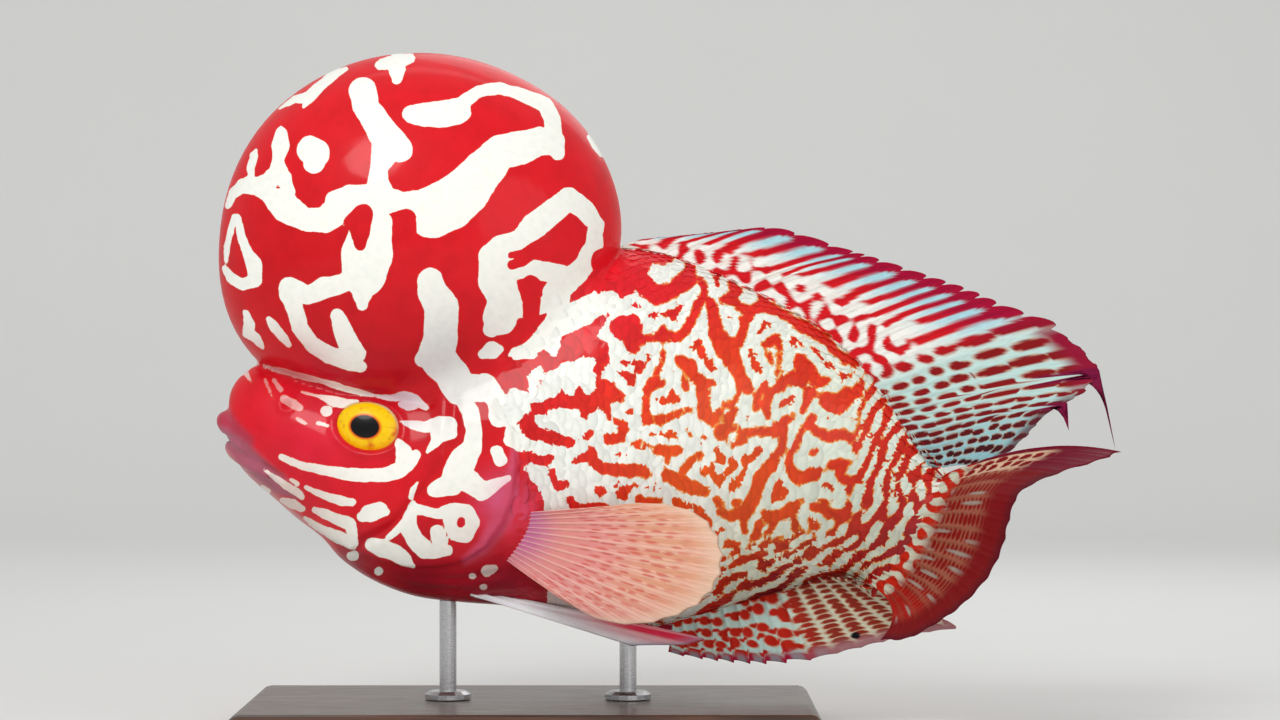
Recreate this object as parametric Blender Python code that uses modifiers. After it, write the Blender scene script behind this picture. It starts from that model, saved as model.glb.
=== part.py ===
"""Life-size still model of a flowerhorn cichlid, a deep-bodied aquarium fish with a great
rounded hump on its forehead, on a plain display stand. Metres, +Z up, head towards -X,
the fish's left side towards -Y. The origin is the middle of the underside of the stand."""

import math

import bmesh
import bpy
from mathutils import Matrix, Vector
from mathutils.bvhtree import BVHTree

# Driving sizes
TOTAL_LENGTH = 0.254        # snout to the tip of the tail fin
GAP = 0.0003                # clearance between touching pieces
HUMP_HALF_WIDTH = 0.038
EYE_RADII = (0.0096, 0.0074, 0.0042)    # along, across and into the head
EYE_BULGE = 0.0018          # how far the eye stands out of the head
EYE_LOOK = Vector((-0.05, -1.2, 0.1))   # turns the eye's face outwards from the slope of the head
LIP_RADIUS = 0.0030
MEMBRANE = 0.00055          # thickness of a fin between its rays
RAY_AT_ROOT, RAY_AT_TIP = 0.0017, 0.0009    # thickness of a fin on its rays
SKIN_GRAIN = 0.0017         # voxel of the fused body, before it is thinned out
SKIN_KEPT = 0.105           # share of its faces that the thinned body keeps
VIEW_DISTANCE = 1.03        # the side view is drawn as seen from this far
ROOT_SPARE, ROOT_SHARE = 0.0002, 0.35    # extra clearance of a fin's root, part of it by its thickness
ROOT_STEP, ROOT_LATEST = 0.01, 0.2    # step along a ray that finds its root, and the most, as shares
SHARPEST = 1.6              # most that a sharp corner of a grown copy stands out, in growths
STAND_SIZE = (0.160, 0.096, 0.008)
STAND_EDGE = 0.003
ROD_RADIUS = 0.0024
ROD_FOOT_RADIUS = 0.0065
ROD_FOOT_HEIGHT = 0.0022

# The side view is drawn in its own units: x to the tail, y downwards
SNOUT_X, TAIL_TIP_X = 216.0, 1122.0
UNIT = TOTAL_LENGTH / (TAIL_TIP_X - SNOUT_X)
STAND_X, FLOOR_Y = 530.0, 728.0
VIEW_X, VIEW_Y = 640.0, 360.0

# Ribs of the body from the snout to the root of the tail fin:
# top x, y; bottom x, y; half width and sideways bend in millimetres
RIBS = (
    (229, 404, 232, 444, 4.0, 0),
    (232, 389, 238, 462, 9.5, 0),
    (243, 374, 252, 479, 13.5, 0),
    (262, 363, 272, 496, 17.0, 0),
    (290, 362, 297, 518, 20.0, 0),
    (322, 364, 323, 538, 22.5, 0),
    (345, 366, 343, 560, 24.0, 0),
    (375, 364, 375, 581, 25.5, 0),
    (415, 352, 415, 596, 27.0, 0),
    (460, 330, 460, 602, 28.5, 0),
    (510, 300, 508, 606, 29.0, 0),
    (560, 272, 556, 615, 28.8, 0),
    (615, 250, 605, 623, 28.0, 0),
    (660, 254, 650, 625, 26.5, 0),
    (712, 272, 695, 614, 24.0, 0),
    (762, 295, 738, 602, 21.0, 0),
    (810, 321, 780, 590, 17.5, -0.5),
    (850, 352, 815, 580, 14.0, -1.8),
    (882, 390, 840, 575, 11.0, -4.2),
    (908, 428, 858, 577, 8.8, -7.4),
    (930, 460, 868, 583, 6.2, -11.0),
    (946, 482, 875, 591, 3.4, -15.0),
)
GILL_RIB, STALK_RIB, TAIL_RIB = 10.0, 17.0, 21.0
SIDES_OF_A_RIB = 32
SECTION_POWER = 1.12        # above 1 the back and belly are narrower than an ellipse

# The hump: its middle in the side view and its reach every 30 degrees from the tail side
HUMP_X, HUMP_Y = 421.0, 226.0
HUMP_REACH = (201, 191, 177, 173, 178, 189, 200, 213, 204, 193, 190, 195)
HUMP_AROUND, HUMP_ACROSS = 36, 20

EYE_X, EYE_Y, EYE_TILT = 368.0, 427.0, math.radians(-10)
NOSTRIL_X, NOSTRIL_Y, NOSTRIL_RADIUS = 287.0, 404.0, 0.0011

# Lips from the middle of the mouth to its corner: x, y, half width in millimetres, thickness
UPPER_LIP = ((227, 421, 0.0, 1.0), (231, 427, 5.0, 1.0), (245, 443, 10.3, 0.85), (268, 462, 14.6, 0.55))
LOWER_LIP = ((235, 447, 0.0, 0.95), (239, 452, 5.0, 0.95), (252, 463, 10.0, 0.8), (271, 475, 13.6, 0.5))
# The line of the mouth, the jaw's hind edge and the way round outside the chin
JAW = ((200, 436), (232, 437), (250, 455), (276, 472), (300, 498), (322, 545), (260, 560), (190, 500))
# The crease under the hump from the forehead to the nape, and the way round above the hump
CREASE = ((150, 350), (252, 364), (275, 372), (300, 381), (330, 390), (360, 398), (395, 402), (428, 402),
          (466, 380), (510, 345), (556, 304), (588, 277), (606, 262), (625, 240), (700, 150),
          (640, 0), (400, -60), (150, 0))
# Where the hump's flank eases into the body: two places of the side view, and how far around
EASE_FROM, EASE_TO, EASE_REACH, EASE_ROUNDS = (440, 392), (556, 305), 62.0, 60

# Outline of the gill cover, from its front round by the top
GILL_MIDDLE = (455, 476)
GILL_OUTLINE = ((418, 470), (428, 425), (452, 402), (482, 402), (505, 425), (514, 460),
                (510, 498), (493, 533), (466, 556), (430, 560), (402, 545), (404, 510))
GILL_FREE_EDGE, GILL_FRONT_EDGE = 0.0014, 0.0006
GILL_HALF_LENGTH = 55.0     # in the side view

# Fins. A row is one ray: its root on a rib, and its tip as x, y and millimetres to the side
DORSAL = (
    (12.15, 646, 240, 0.0), (13.0, 722, 232, 0.0), (13.6, 775, 229, 0.2), (14.5, 843, 250, 0.4),
    (15.0, 872, 259, 0.6), (16.0, 922, 276, 0.8), (16.6, 962, 290, 0.8), (17.2, 998, 306, 0.6),
    (18.0, 1062, 331, 0.0), (18.5, 1098, 364, -1.0), (18.9, 1086, 392, -2.5), (19.4, 1052, 412, -4.5),
    (19.9, 1024, 440, -7.0), (20.4, 990, 468, -10.0),
)
ANAL = (
    (13.5, 668, 653, 0.0), (13.9, 697, 658, 0.0), (14.4, 722, 661, 0.0), (14.9, 748, 663, 0.0),
    (15.4, 775, 663, 0.3), (16.0, 812, 659, 0.8), (16.7, 852, 650, 1.6), (17.4, 888, 641, 2.6),
    (18.2, 925, 633, 3.6), (18.9, 958, 627, 4.4), (19.5, 915, 612, 1.5),
)
# How far a spine or a thread stands out of the edge of its fin, as a share of its length
DORSAL_RAYS, DORSAL_SPINES, DORSAL_SPINE_REACH, DORSAL_THREADS = 29, 17, 0.07, {20: 0.09, 23: 0.07}
ANAL_RAYS, ANAL_SPINES, ANAL_SPINE_REACH = 17, 8, 0.1
TAIL_RAYS, PECTORAL_RAYS, PELVIC_RAYS = 16, 14, 6
# The tail fin's rays from its upper to its lower edge: tip x, y and millimetres to the side
TAIL = (
    (1122, 452, -24), (1100, 461, -31), (1058, 474, -40), (1022, 492, -49), (1010, 520, -56),
    (1003, 548, -60), (988, 578, -62), (963, 605, -62), (936, 624, -61), (907, 639, -59), (880, 640, -56),
)
# Turns on the last rib where the tail fin starts and ends, as shares of half a turn
TAIL_FIRST_TURN, TAIL_LAST_TURN = 0.08, 0.92
TAIL_UPPER_BOW, TAIL_LOWER_BOW = Vector((0, 0, 0.0045)), Vector((0.0042, 0, 0))
# Left pectoral fin: its root from top to bottom, then its tips
PECTORAL_ROOT = ((524, 514), (504, 562))
PECTORAL = (
    (640, 503, -38), (672, 505, -41), (699, 514, -44), (715, 530, -46), (723, 550, -48), (722, 572, -49),
    (712, 592, -49), (694, 608, -48), (668, 619, -46), (636, 625, -43), (600, 620, -39), (566, 602, -34),
)
# Left pelvic fin: its root from the spine inwards, then its tips
PELVIC_ROOT = ((470, 602, -10.0), (494, 601, -6.5))
PELVIC = (
    (632, 646, -17), (684, 645, -19), (704, 639, -18.5), (672, 631, -17), (632, 624, -15), (590, 616, -13),
)

STAND_ROD_X = (448.0, 628.0)

COLOURS = {
    "red_skin": ((0.72, 0.012, 0.020, 1), 0.32, 0.0),
    "orange_skin": ((0.80, 0.16, 0.03, 1), 0.35, 0.0),
    "fin": ((0.52, 0.62, 0.62, 1), 0.4, 0.0),
    "pink_fin": ((0.80, 0.36, 0.27, 1), 0.4, 0.0),
    "eye": ((0.85, 0.55, 0.02, 1), 0.1, 0.0),
    "dark_wood": ((0.06, 0.028, 0.014, 1), 0.4, 0.0),
    "steel": ((0.6, 0.6, 0.6, 1), 0.25, 1.0),
}
MM = 0.001


def clear_scene():
    for item in list(bpy.data.objects):
        bpy.data.objects.remove(item, do_unlink=True)


def material(name):
    found = bpy.data.materials.get(name)
    if found:
        return found
    colour, roughness, metallic = COLOURS[name]
    made = bpy.data.materials.new(name)
    made.use_nodes = True
    shader = made.node_tree.nodes["Principled BSDF"]
    shader.inputs["Base Color"].default_value = colour
    shader.inputs["Roughness"].default_value = roughness
    shader.inputs["Metallic"].default_value = metallic
    return made


def collection(name):
    made = bpy.data.collections.new(name)
    bpy.context.scene.collection.children.link(made)
    return made


def place(x, y, side=0.0):
    """A point of the side view in the model, side millimetres off the middle plane.
    What lies nearer than that plane looks larger in the side view, and is drawn in."""
    near = 1 + side * MM / VIEW_DISTANCE
    x = VIEW_X + (x - VIEW_X) * near
    y = VIEW_Y + (y - VIEW_Y) * near
    return Vector(((x - STAND_X) * UNIT, side * MM, (FLOOR_Y - y) * UNIT))


def smooth(rows, at, closed=False):
    """A smooth curve through rows of numbers, at a position counted in rows."""
    last = len(rows) - 1
    at = at % (last + 1) if closed else min(max(at, 0.0), float(last))
    low = int(at) if closed else min(int(at), last - 1)
    t = at - low

    def row(i):
        return rows[i % (last + 1)] if closed else rows[min(max(i, 0), last)]

    weights = (
        (-t + 2 * t * t - t ** 3) / 2,
        (2 - 5 * t * t + 3 * t ** 3) / 2,
        (t + 4 * t * t - 3 * t ** 3) / 2,
        (t ** 3 - t * t) / 2,
    )
    near = [row(low + i) for i in (-1, 0, 1, 2)]
    return [sum(w * values[k] for w, values in zip(weights, near)) for k in range(len(near[0]))]


def body_point(rib, turn):
    """A point of the body on a rib; turn goes from the back, down the left side, round."""
    top_x, top_y, low_x, low_y, half_width, bend = smooth(RIBS, rib)
    down = (1 - math.cos(turn)) / 2
    side = math.copysign(abs(math.sin(turn)) ** SECTION_POWER, math.sin(turn))
    middle = place(top_x + (low_x - top_x) * down, top_y + (low_y - top_y) * down, bend)
    return middle + Vector((0, -half_width * side * MM, 0))


def hump_point(around, across):
    """A point of the hump: around turns in the side view, across goes from left to right."""
    reach = smooth([(r,) for r in HUMP_REACH], around / math.radians(30), closed=True)[0]
    middle = place(HUMP_X, HUMP_Y)
    out = reach * UNIT * math.sin(across)
    return middle + Vector((out * math.cos(around), -HUMP_HALF_WIDTH * math.cos(across),
                            out * math.sin(around)))


def mesh_object(name, bm, home, finish=None, flat=False):
    bmesh.ops.recalc_face_normals(bm, faces=bm.faces)
    mesh = bpy.data.meshes.new(name)
    bm.to_mesh(mesh)
    bm.free()
    made = bpy.data.objects.new(name, mesh)
    home.objects.link(made)
    if finish:
        mesh.materials.append(material(finish))
    if not flat:
        mesh.shade_smooth()
    return made


def loft(rings):
    """A closed mesh over rings of as many points each, with a flat cap at each end."""
    bm = bmesh.new()
    loops = [[bm.verts.new(point) for point in ring] for ring in rings]
    count = len(loops[0])
    for here, there in zip(loops, loops[1:]):
        for i in range(count):
            j = (i + 1) % count
            bm.faces.new((here[i], here[j], there[j], there[i]))
    for cap in (loops[0], loops[-1]):
        bm.faces.new(cap)
    return bm


def body_rings(first, last, steps):
    turns = [2 * math.pi * i / SIDES_OF_A_RIB for i in range(SIDES_OF_A_RIB)]
    ribs = [first + (last - first) * i / steps for i in range(steps + 1)]
    return [[body_point(rib, turn) for turn in turns] for rib in ribs]


def grown(source, by, home, name):
    """A helper copy of a mesh, larger by the same distance all round."""
    bm = bmesh.new()
    bm.from_mesh(source.data)
    bm.normal_update()
    moves = [(v, v.normal * by * min(v.calc_shell_factor(), SHARPEST)) for v in bm.verts]
    for v, move in moves:
        v.co += move
    made = mesh_object(name, bm, home)
    made.hide_render = True
    made.display_type = "WIRE"
    return made


def boolean(target, other, operation, own_crossings=False):
    """Cuts, joins or trims the target by another mesh for good. own_crossings is for a mesh
    that was grown, whose faces may cross a little in its creases."""
    modifier = target.modifiers.new(operation.lower(), "BOOLEAN")
    modifier.operation = operation
    modifier.use_self = own_crossings
    modifier.object = other
    graph = bpy.context.evaluated_depsgraph_get()
    made = bpy.data.meshes.new_from_object(target.evaluated_get(graph))
    target.modifiers.clear()
    target.data = made


def keep_largest(target):
    """Keeps only the largest closed surface of a mesh."""
    bm = bmesh.new()
    bm.from_mesh(target.data)
    bmesh.ops.remove_doubles(bm, verts=bm.verts, dist=2e-6)
    bmesh.ops.dissolve_degenerate(bm, edges=bm.edges, dist=2e-6)
    bmesh.ops.triangulate(bm, faces=bm.faces)
    left = set(bm.faces)
    groups = []
    while left:
        group = {left.pop()}
        edge_of_group = list(group)
        while edge_of_group:
            for edge in edge_of_group.pop().edges:
                for face in edge.link_faces:
                    if face in left:
                        left.remove(face)
                        group.add(face)
                        edge_of_group.append(face)
        groups.append(group)
    largest = max(groups, key=lambda g: sum(f.calc_area() for f in g))
    bmesh.ops.delete(bm, geom=[f for f in bm.faces if f not in largest], context="FACES")
    bm.to_mesh(target.data)
    bm.free()


def remove(*helpers):
    for helper in helpers:
        bpy.data.objects.remove(helper, do_unlink=True)


def ellipsoid(name, radii, placing, home, finish=None, around=24, across=14):
    bm = bmesh.new()
    bmesh.ops.create_uvsphere(bm, u_segments=around, v_segments=across, radius=1.0)
    bmesh.ops.transform(bm, matrix=placing @ Matrix.Diagonal((*radii, 1.0)), verts=bm.verts)
    return mesh_object(name, bm, home, finish)


def prism(name, outline, depth, home):
    """An outline of the side view as a block that reaches depth to both sides."""
    bm = bmesh.new()
    near = [bm.verts.new(place(x, y, -depth / MM)) for x, y in outline]
    bm.faces.new(near)
    made = bmesh.ops.extrude_face_region(bm, geom=bm.faces[:])
    verts = [v for v in made["geom"] if isinstance(v, bmesh.types.BMVert)]
    bmesh.ops.translate(bm, verts=verts, vec=(0, 2 * depth, 0))
    return mesh_object(name, bm, home, flat=True)


def lip(name, points, home):
    """A lip: a tapered tube from one corner of the mouth round to the other."""
    path = [(x, y, -side, thick) for x, y, side, thick in reversed(points)]
    path += list(points[1:])
    curve = bpy.data.curves.new(name, "CURVE")
    curve.dimensions = "3D"
    curve.bevel_depth = LIP_RADIUS
    curve.bevel_resolution = 2
    curve.use_fill_caps = True
    steps = 20
    spline = curve.splines.new("POLY")
    spline.points.add(steps)
    for i in range(steps + 1):
        x, y, side, thick = smooth(path, (len(path) - 1) * i / steps)
        spline.points[i].co = (*place(x, y, side), 1)
        spline.points[i].radius = thick
    tube = bpy.data.objects.new(name, curve)
    home.objects.link(tube)
    bpy.context.view_layer.update()
    graph = bpy.context.evaluated_depsgraph_get()
    mesh = bpy.data.meshes.new_from_object(tube.evaluated_get(graph))
    bm = bmesh.new()
    bm.from_mesh(mesh)
    bmesh.ops.remove_doubles(bm, verts=bm.verts, dist=1e-6)
    remove(tube)
    return mesh_object(name, bm, home)


def surface_of(target):
    bm = bmesh.new()
    bm.from_mesh(target.data)
    tree = BVHTree.FromBMesh(bm)
    bm.free()
    return tree


def on_left_side(tree, x, y):
    """The point and the outward direction of the left side at a place of the side view."""
    viewer = place(VIEW_X, VIEW_Y) - Vector((0, VIEW_DISTANCE, 0))
    point, normal, _, _ = tree.ray_cast(viewer, (place(x, y) - viewer).normalized())
    return point, normal


def gill_cover(name, tree, cutter, home, mirror):
    """A thin bony flap over the gills, thickest and free at its hind edge."""
    spokes, rings = 30, (0.0, 0.4, 0.75, 1.0)
    middle_x, middle_y = GILL_MIDDLE
    sheets = ([], [])
    for ring in rings[1:]:
        rows = ([], [])
        for i in range(spokes):
            x, y = smooth(GILL_OUTLINE, len(GILL_OUTLINE) * i / spokes, closed=True)
            x = middle_x + (x - middle_x) * ring
            y = middle_y + (y - middle_y) * ring
            point, normal = on_left_side(tree, x, y)
            back = min(max((x - middle_x) / GILL_HALF_LENGTH + 0.5, 0.0), 1.0)
            rise = GILL_FRONT_EDGE + (GILL_FREE_EDGE - GILL_FRONT_EDGE) * back
            rows[0].append(point + normal * (GAP + rise))
            rows[1].append(point - normal * MM)
        sheets[0].append(rows[0])
        sheets[1].append(rows[1])
    bm = bmesh.new()
    point, normal = on_left_side(tree, middle_x, middle_y)
    rise = GAP + (GILL_FRONT_EDGE + GILL_FREE_EDGE) / 2
    loops = []
    for sheet, centre in ((sheets[0], point + normal * rise), (sheets[1], point - normal * MM)):
        hub = bm.verts.new(centre)
        rows = [[bm.verts.new(p) for p in row] for row in sheet]
        for i in range(spokes):
            j = (i + 1) % spokes
            bm.faces.new((hub, rows[0][i], rows[0][j]))
            for here, there in zip(rows, rows[1:]):
                bm.faces.new((here[i], there[i], there[j], here[j]))
        loops.append(rows[-1])
    for i in range(spokes):
        j = (i + 1) % spokes
        bm.faces.new((loops[0][i], loops[1][i], loops[1][j], loops[0][j]))
    if mirror:
        bmesh.ops.scale(bm, vec=(1, -1, 1), verts=bm.verts)
    made = mesh_object(name, bm, home, "red_skin")
    boolean(made, cutter, "DIFFERENCE", own_crossings=True)
    keep_largest(made)
    return made


def height_over(tree, point):
    """How far a point is outside a surface, below zero inside, and the way out."""
    near, normal, _, _ = tree.find_nearest(point)
    return (point - near).dot(normal), normal


def fin(name, ray_line, rays, rows, home, finish, tree, mirror=False, reach=None, web=0.0, swell=0.0):
    """A fin as a closed sheet with its rays as ridges on both faces. ray_line(across, along)
    gives its middle surface, with across from the first ray to the last and along from the
    root to the edge, both from 0 to 1. Its root stops short of the body by the gap, and what
    would lie in the body is bent clear. reach(ray) is how far a ray's tip stands out, and web
    how far the skin between two rays falls short of the edge, both as shares of its length.
    swell is how much thicker the fin is at its root."""
    columns = 2 * (rays - 1)
    side = -1 if mirror else 1

    def line(across, along):
        return ray_line(across, along) * Vector((1, side, 1))

    middle, halves = [], []
    for c in range(columns + 1):
        stretch = (1 + reach(c // 2) if reach else 1) if c % 2 == 0 else 1 - web
        halves.append([])
        for r in range(rows + 1):
            ray = RAY_AT_ROOT + (RAY_AT_TIP - RAY_AT_ROOT) * r / rows
            halves[-1].append(((ray if c % 2 == 0 else MEMBRANE) + swell * (1 - r / rows) ** 3) / 2)
        clear = GAP + ROOT_SPARE + ROOT_SHARE * halves[-1][0]
        start = 0.0
        while height_over(tree, line(c / columns, start))[0] < clear and start < ROOT_LATEST:
            start += ROOT_STEP
        column = []
        for r in range(rows + 1):
            point = line(c / columns, start + (stretch - start) * r / rows)
            need = clear if r == 0 else GAP + ROOT_SPARE + halves[-1][r]
            height, way_out = height_over(tree, point)
            if height < need:
                point += way_out * (need - height)
            column.append(point)
        middle.append(column)
    bm = bmesh.new()
    faces = ([], [])
    for c in range(columns + 1):
        column = ([], [])
        for r in range(rows + 1):
            across = middle[min(c + 1, columns)][r] - middle[max(c - 1, 0)][r]
            along = middle[c][min(r + 1, rows)] - middle[c][max(r - 1, 0)]
            normal = across.cross(along).normalized()
            column[0].append(bm.verts.new(middle[c][r] + normal * halves[c][r]))
            column[1].append(bm.verts.new(middle[c][r] - normal * halves[c][r]))
        faces[0].append(column[0])
        faces[1].append(column[1])
    for sheet in faces:
        for c in range(columns):
            for r in range(rows):
                a, b = sheet[c][r], sheet[c + 1][r]
                d, e = sheet[c][r + 1], sheet[c + 1][r + 1]
                bm.faces.new((a, b, e))
                bm.faces.new((a, e, d))
    near, far = faces
    rim = [(c, 0) for c in range(columns)] + [(columns, r) for r in range(rows)]
    rim += [(c, rows) for c in range(columns, 0, -1)] + [(0, r) for r in range(rows, 0, -1)]
    for (c, r), (d, s) in zip(rim, rim[1:] + rim[:1]):
        bm.faces.new((near[c][r], near[d][s], far[d][s]))
        bm.faces.new((near[c][r], far[d][s], far[c][r]))
    return mesh_object(name, bm, home, finish)


def median_fin_line(table, turn, sunk, bow):
    """The middle surface of a fin on the back or belly; sunk is how deep its root lies."""
    def line(across, along):
        rib, x, y, side = smooth(table, across * (len(table) - 1))
        root = body_point(rib, turn)
        tip = place(x, y, side)
        inwards = (root - tip).normalized() * sunk
        root = root + inwards
        lift = Vector((0, 0, bow * 4 * along * (1 - along)))
        return root.lerp(tip, along) + lift
    return line


def tail_line(across, along):
    """The middle surface of the tail fin, which sweeps to the fish's left."""
    x, y, side = smooth(TAIL, across * (len(TAIL) - 1))
    turn = math.pi * (TAIL_FIRST_TURN + (TAIL_LAST_TURN - TAIL_FIRST_TURN) * across)
    root = body_point(TAIL_RIB, turn)
    other = body_point(TAIL_RIB, -turn)
    root = (root + other) / 2
    before = (body_point(TAIL_RIB - 0.5, turn) + body_point(TAIL_RIB - 0.5, -turn)) / 2
    root += (before - root).normalized() * 2 * MM
    tip = place(x, y, side)
    bow = TAIL_UPPER_BOW * (1 - across) ** 2 + TAIL_LOWER_BOW * across
    return root.lerp(tip, along) + bow * 4 * along * (1 - along)


def paired_fin_line(roots, tips, sag):
    def line(across, along):
        tip = place(*smooth(tips, across * (len(tips) - 1)))
        root = roots[0].lerp(roots[1], across)
        bend = Vector((0, -sag, 0)) * 4 * along * (1 - along)
        return root.lerp(tip, along) + bend
    return line


def hump(home):
    rings = []
    for i in range(1, HUMP_ACROSS):
        across = math.pi * i / HUMP_ACROSS
        turns = [2 * math.pi * j / HUMP_AROUND for j in range(HUMP_AROUND)]
        rings.append([hump_point(turn, across) for turn in turns])
    return mesh_object("hump", loft(rings), home)


def applied(target, kind, **settings):
    """Puts a modifier on the target for good."""
    modifier = target.modifiers.new(kind.lower(), kind)
    for name, value in settings.items():
        setattr(modifier, name, value)
    graph = bpy.context.evaluated_depsgraph_get()
    made = bpy.data.meshes.new_from_object(target.evaluated_get(graph))
    target.modifiers.clear()
    target.data = made


def ease_flanks(target):
    """Smooths the hollow between the hump's flank and the body, most in its middle."""
    start, end = place(*EASE_FROM), place(*EASE_TO)
    run = Vector((end.x - start.x, 0, end.z - start.z))
    bm = bmesh.new()
    bm.from_mesh(target.data)
    far = {}
    for v in bm.verts:
        off = Vector((v.co.x - start.x, 0, v.co.z - start.z))
        share = min(max(off.dot(run) / run.length_squared, 0.0), 1.0)
        far[v] = (off - run * share).length / (EASE_REACH * UNIT)
    for i in range(EASE_ROUNDS):
        reach = 1 - i / EASE_ROUNDS
        chosen = [v for v in bm.verts if far[v] < reach]
        if chosen:
            bmesh.ops.smooth_vert(bm, verts=chosen, factor=0.5, use_axis_x=True, use_axis_y=True,
                                  use_axis_z=True)
    bm.to_mesh(target.data)
    bm.free()


def whole_body(home):
    """Body, hump and lips in one closed surface, thinned out to what its curves need."""
    whole = mesh_object("whole_body", loft(body_rings(0, TAIL_RIB, 60)), home)
    pieces = [hump(home), lip("upper_lip", UPPER_LIP, home), lip("lower_lip", LOWER_LIP, home)]
    for piece in pieces:
        boolean(whole, piece, "UNION")
    remove(*pieces)
    applied(whole, "REMESH", mode="VOXEL", voxel_size=SKIN_GRAIN)
    ease_flanks(whole)
    applied(whole, "DECIMATE", ratio=SKIN_KEPT, use_symmetry=True, symmetry_axis="Y")
    keep_largest(whole)
    whole.hide_render = True
    return whole


def parted(source, name, outline, home, helpers):
    """Takes the part of the source inside an outline of the side view, and leaves a gap."""
    block = prism(name + "_block", outline, 0.08, helpers)
    wider = grown(block, GAP, helpers, name + "_cut")
    piece = source.copy()
    piece.data = source.data.copy()
    piece.name = piece.data.name = name
    piece.hide_render = False
    home.objects.link(piece)
    boolean(piece, block, "INTERSECT")
    boolean(source, wider, "DIFFERENCE")
    remove(block, wider)
    keep_largest(piece)
    keep_largest(source)
    return piece


def rib_cut(rib, beyond_tail=1400.0):
    """The side view's outline of all that lies behind a rib."""
    top_x, top_y, low_x, low_y = smooth(RIBS, rib)[:4]
    lean = (low_x - top_x) / (low_y - top_y)
    high, low = -100.0, 900.0
    return ((top_x + (high - top_y) * lean, high), (low_x + (low - low_y) * lean, low),
            (beyond_tail, low), (beyond_tail, high))


def painted(piece, finish):
    piece.data.materials.clear()
    piece.data.materials.append(material(finish))
    piece.data.shade_smooth()


def flesh_parts(whole, home, helpers):
    """The eyes, and the body parted into hump, tail stalk, trunk, jaw and head around them."""
    tree = surface_of(whole)
    rest = whole.copy()
    rest.data = whole.data.copy()
    helpers.objects.link(rest)
    for side, word in ((-1, "left"), (1, "right")):
        point, normal = on_left_side(tree, EYE_X, EYE_Y)
        normal = (normal + EYE_LOOK).normalized()
        centre = point + normal * (EYE_BULGE - EYE_RADII[2])
        turn = normal.to_track_quat("Z", "Y").to_matrix().to_4x4()
        placing = Matrix.Translation(centre) @ turn @ Matrix.Rotation(EYE_TILT, 4, "Z")
        if side > 0:
            placing = Matrix.Diagonal((1, -1, 1, 1)) @ placing
        eye = ellipsoid("eye_" + word, EYE_RADII, placing, home, "eye", 20, 12)
        socket = grown(eye, GAP, helpers, "socket")
        boolean(rest, socket, "DIFFERENCE")
        point, normal = on_left_side(tree, NOSTRIL_X, NOSTRIL_Y)
        point.y *= -side
        pit = ellipsoid("pit", (NOSTRIL_RADIUS,) * 3, Matrix.Translation(point), helpers, None, 8, 6)
        boolean(rest, pit, "DIFFERENCE")
        remove(socket, pit)
    painted(parted(rest, "nuchal_hump", CREASE, home, helpers), "red_skin")
    painted(parted(rest, "tail_stalk", rib_cut(STALK_RIB), home, helpers), "orange_skin")
    painted(parted(rest, "trunk", rib_cut(GILL_RIB), home, helpers), "orange_skin")
    painted(parted(rest, "lower_jaw", JAW, home, helpers), "red_skin")
    rest.name = rest.data.name = "head"
    home.objects.link(rest)
    helpers.objects.unlink(rest)
    rest.hide_render = False
    painted(rest, "red_skin")


def stand(cutter, home):
    width, depth, height = STAND_SIZE
    bpy.ops.mesh.primitive_cube_add(size=1.0)
    base = bpy.context.object
    base.name = base.data.name = "stand_base"
    for owner in list(base.users_collection):
        owner.objects.unlink(base)
    home.objects.link(base)
    box = Matrix.Translation((0, 0, height / 2)) @ Matrix.Diagonal((width, depth, height, 1))
    base.data.transform(box)
    bevel = base.modifiers.new("rounded", "BEVEL")
    bevel.width = STAND_EDGE
    bevel.segments = 3
    base.data.materials.append(material("dark_wood"))
    for x, word in zip(STAND_ROD_X, ("front", "rear")):
        foot, top = height + GAP, place(x, 600).z
        outline = ((0, foot), (ROD_FOOT_RADIUS, foot), (ROD_FOOT_RADIUS, foot + ROD_FOOT_HEIGHT * 0.6),
                   (ROD_FOOT_RADIUS * 0.8, foot + ROD_FOOT_HEIGHT), (ROD_RADIUS, foot + ROD_FOOT_HEIGHT),
                   (ROD_RADIUS, top), (0, top))
        bm = bmesh.new()
        edge = [bm.verts.new((r, 0, z)) for r, z in outline]
        for one, two in zip(edge, edge[1:]):
            bm.edges.new((one, two))
        bmesh.ops.spin(bm, geom=bm.edges[:] + bm.verts[:], cent=(0, 0, 0), axis=(0, 0, 1),
                       angle=2 * math.pi, steps=16, use_merge=True)
        bmesh.ops.remove_doubles(bm, verts=bm.verts, dist=1e-6)
        bmesh.ops.translate(bm, verts=bm.verts, vec=(place(x, 0).x, 0, 0))
        rod = mesh_object("stand_rod_" + word, bm, home, "steel")
        boolean(rod, cutter, "DIFFERENCE", own_crossings=True)
        keep_largest(rod)


def dorsal_reach(ray):
    """Spine tips at the front, and two threads at the fin's hind tip."""
    if ray < DORSAL_SPINES:
        return DORSAL_SPINE_REACH
    return DORSAL_THREADS.get(ray, 0.0)


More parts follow.
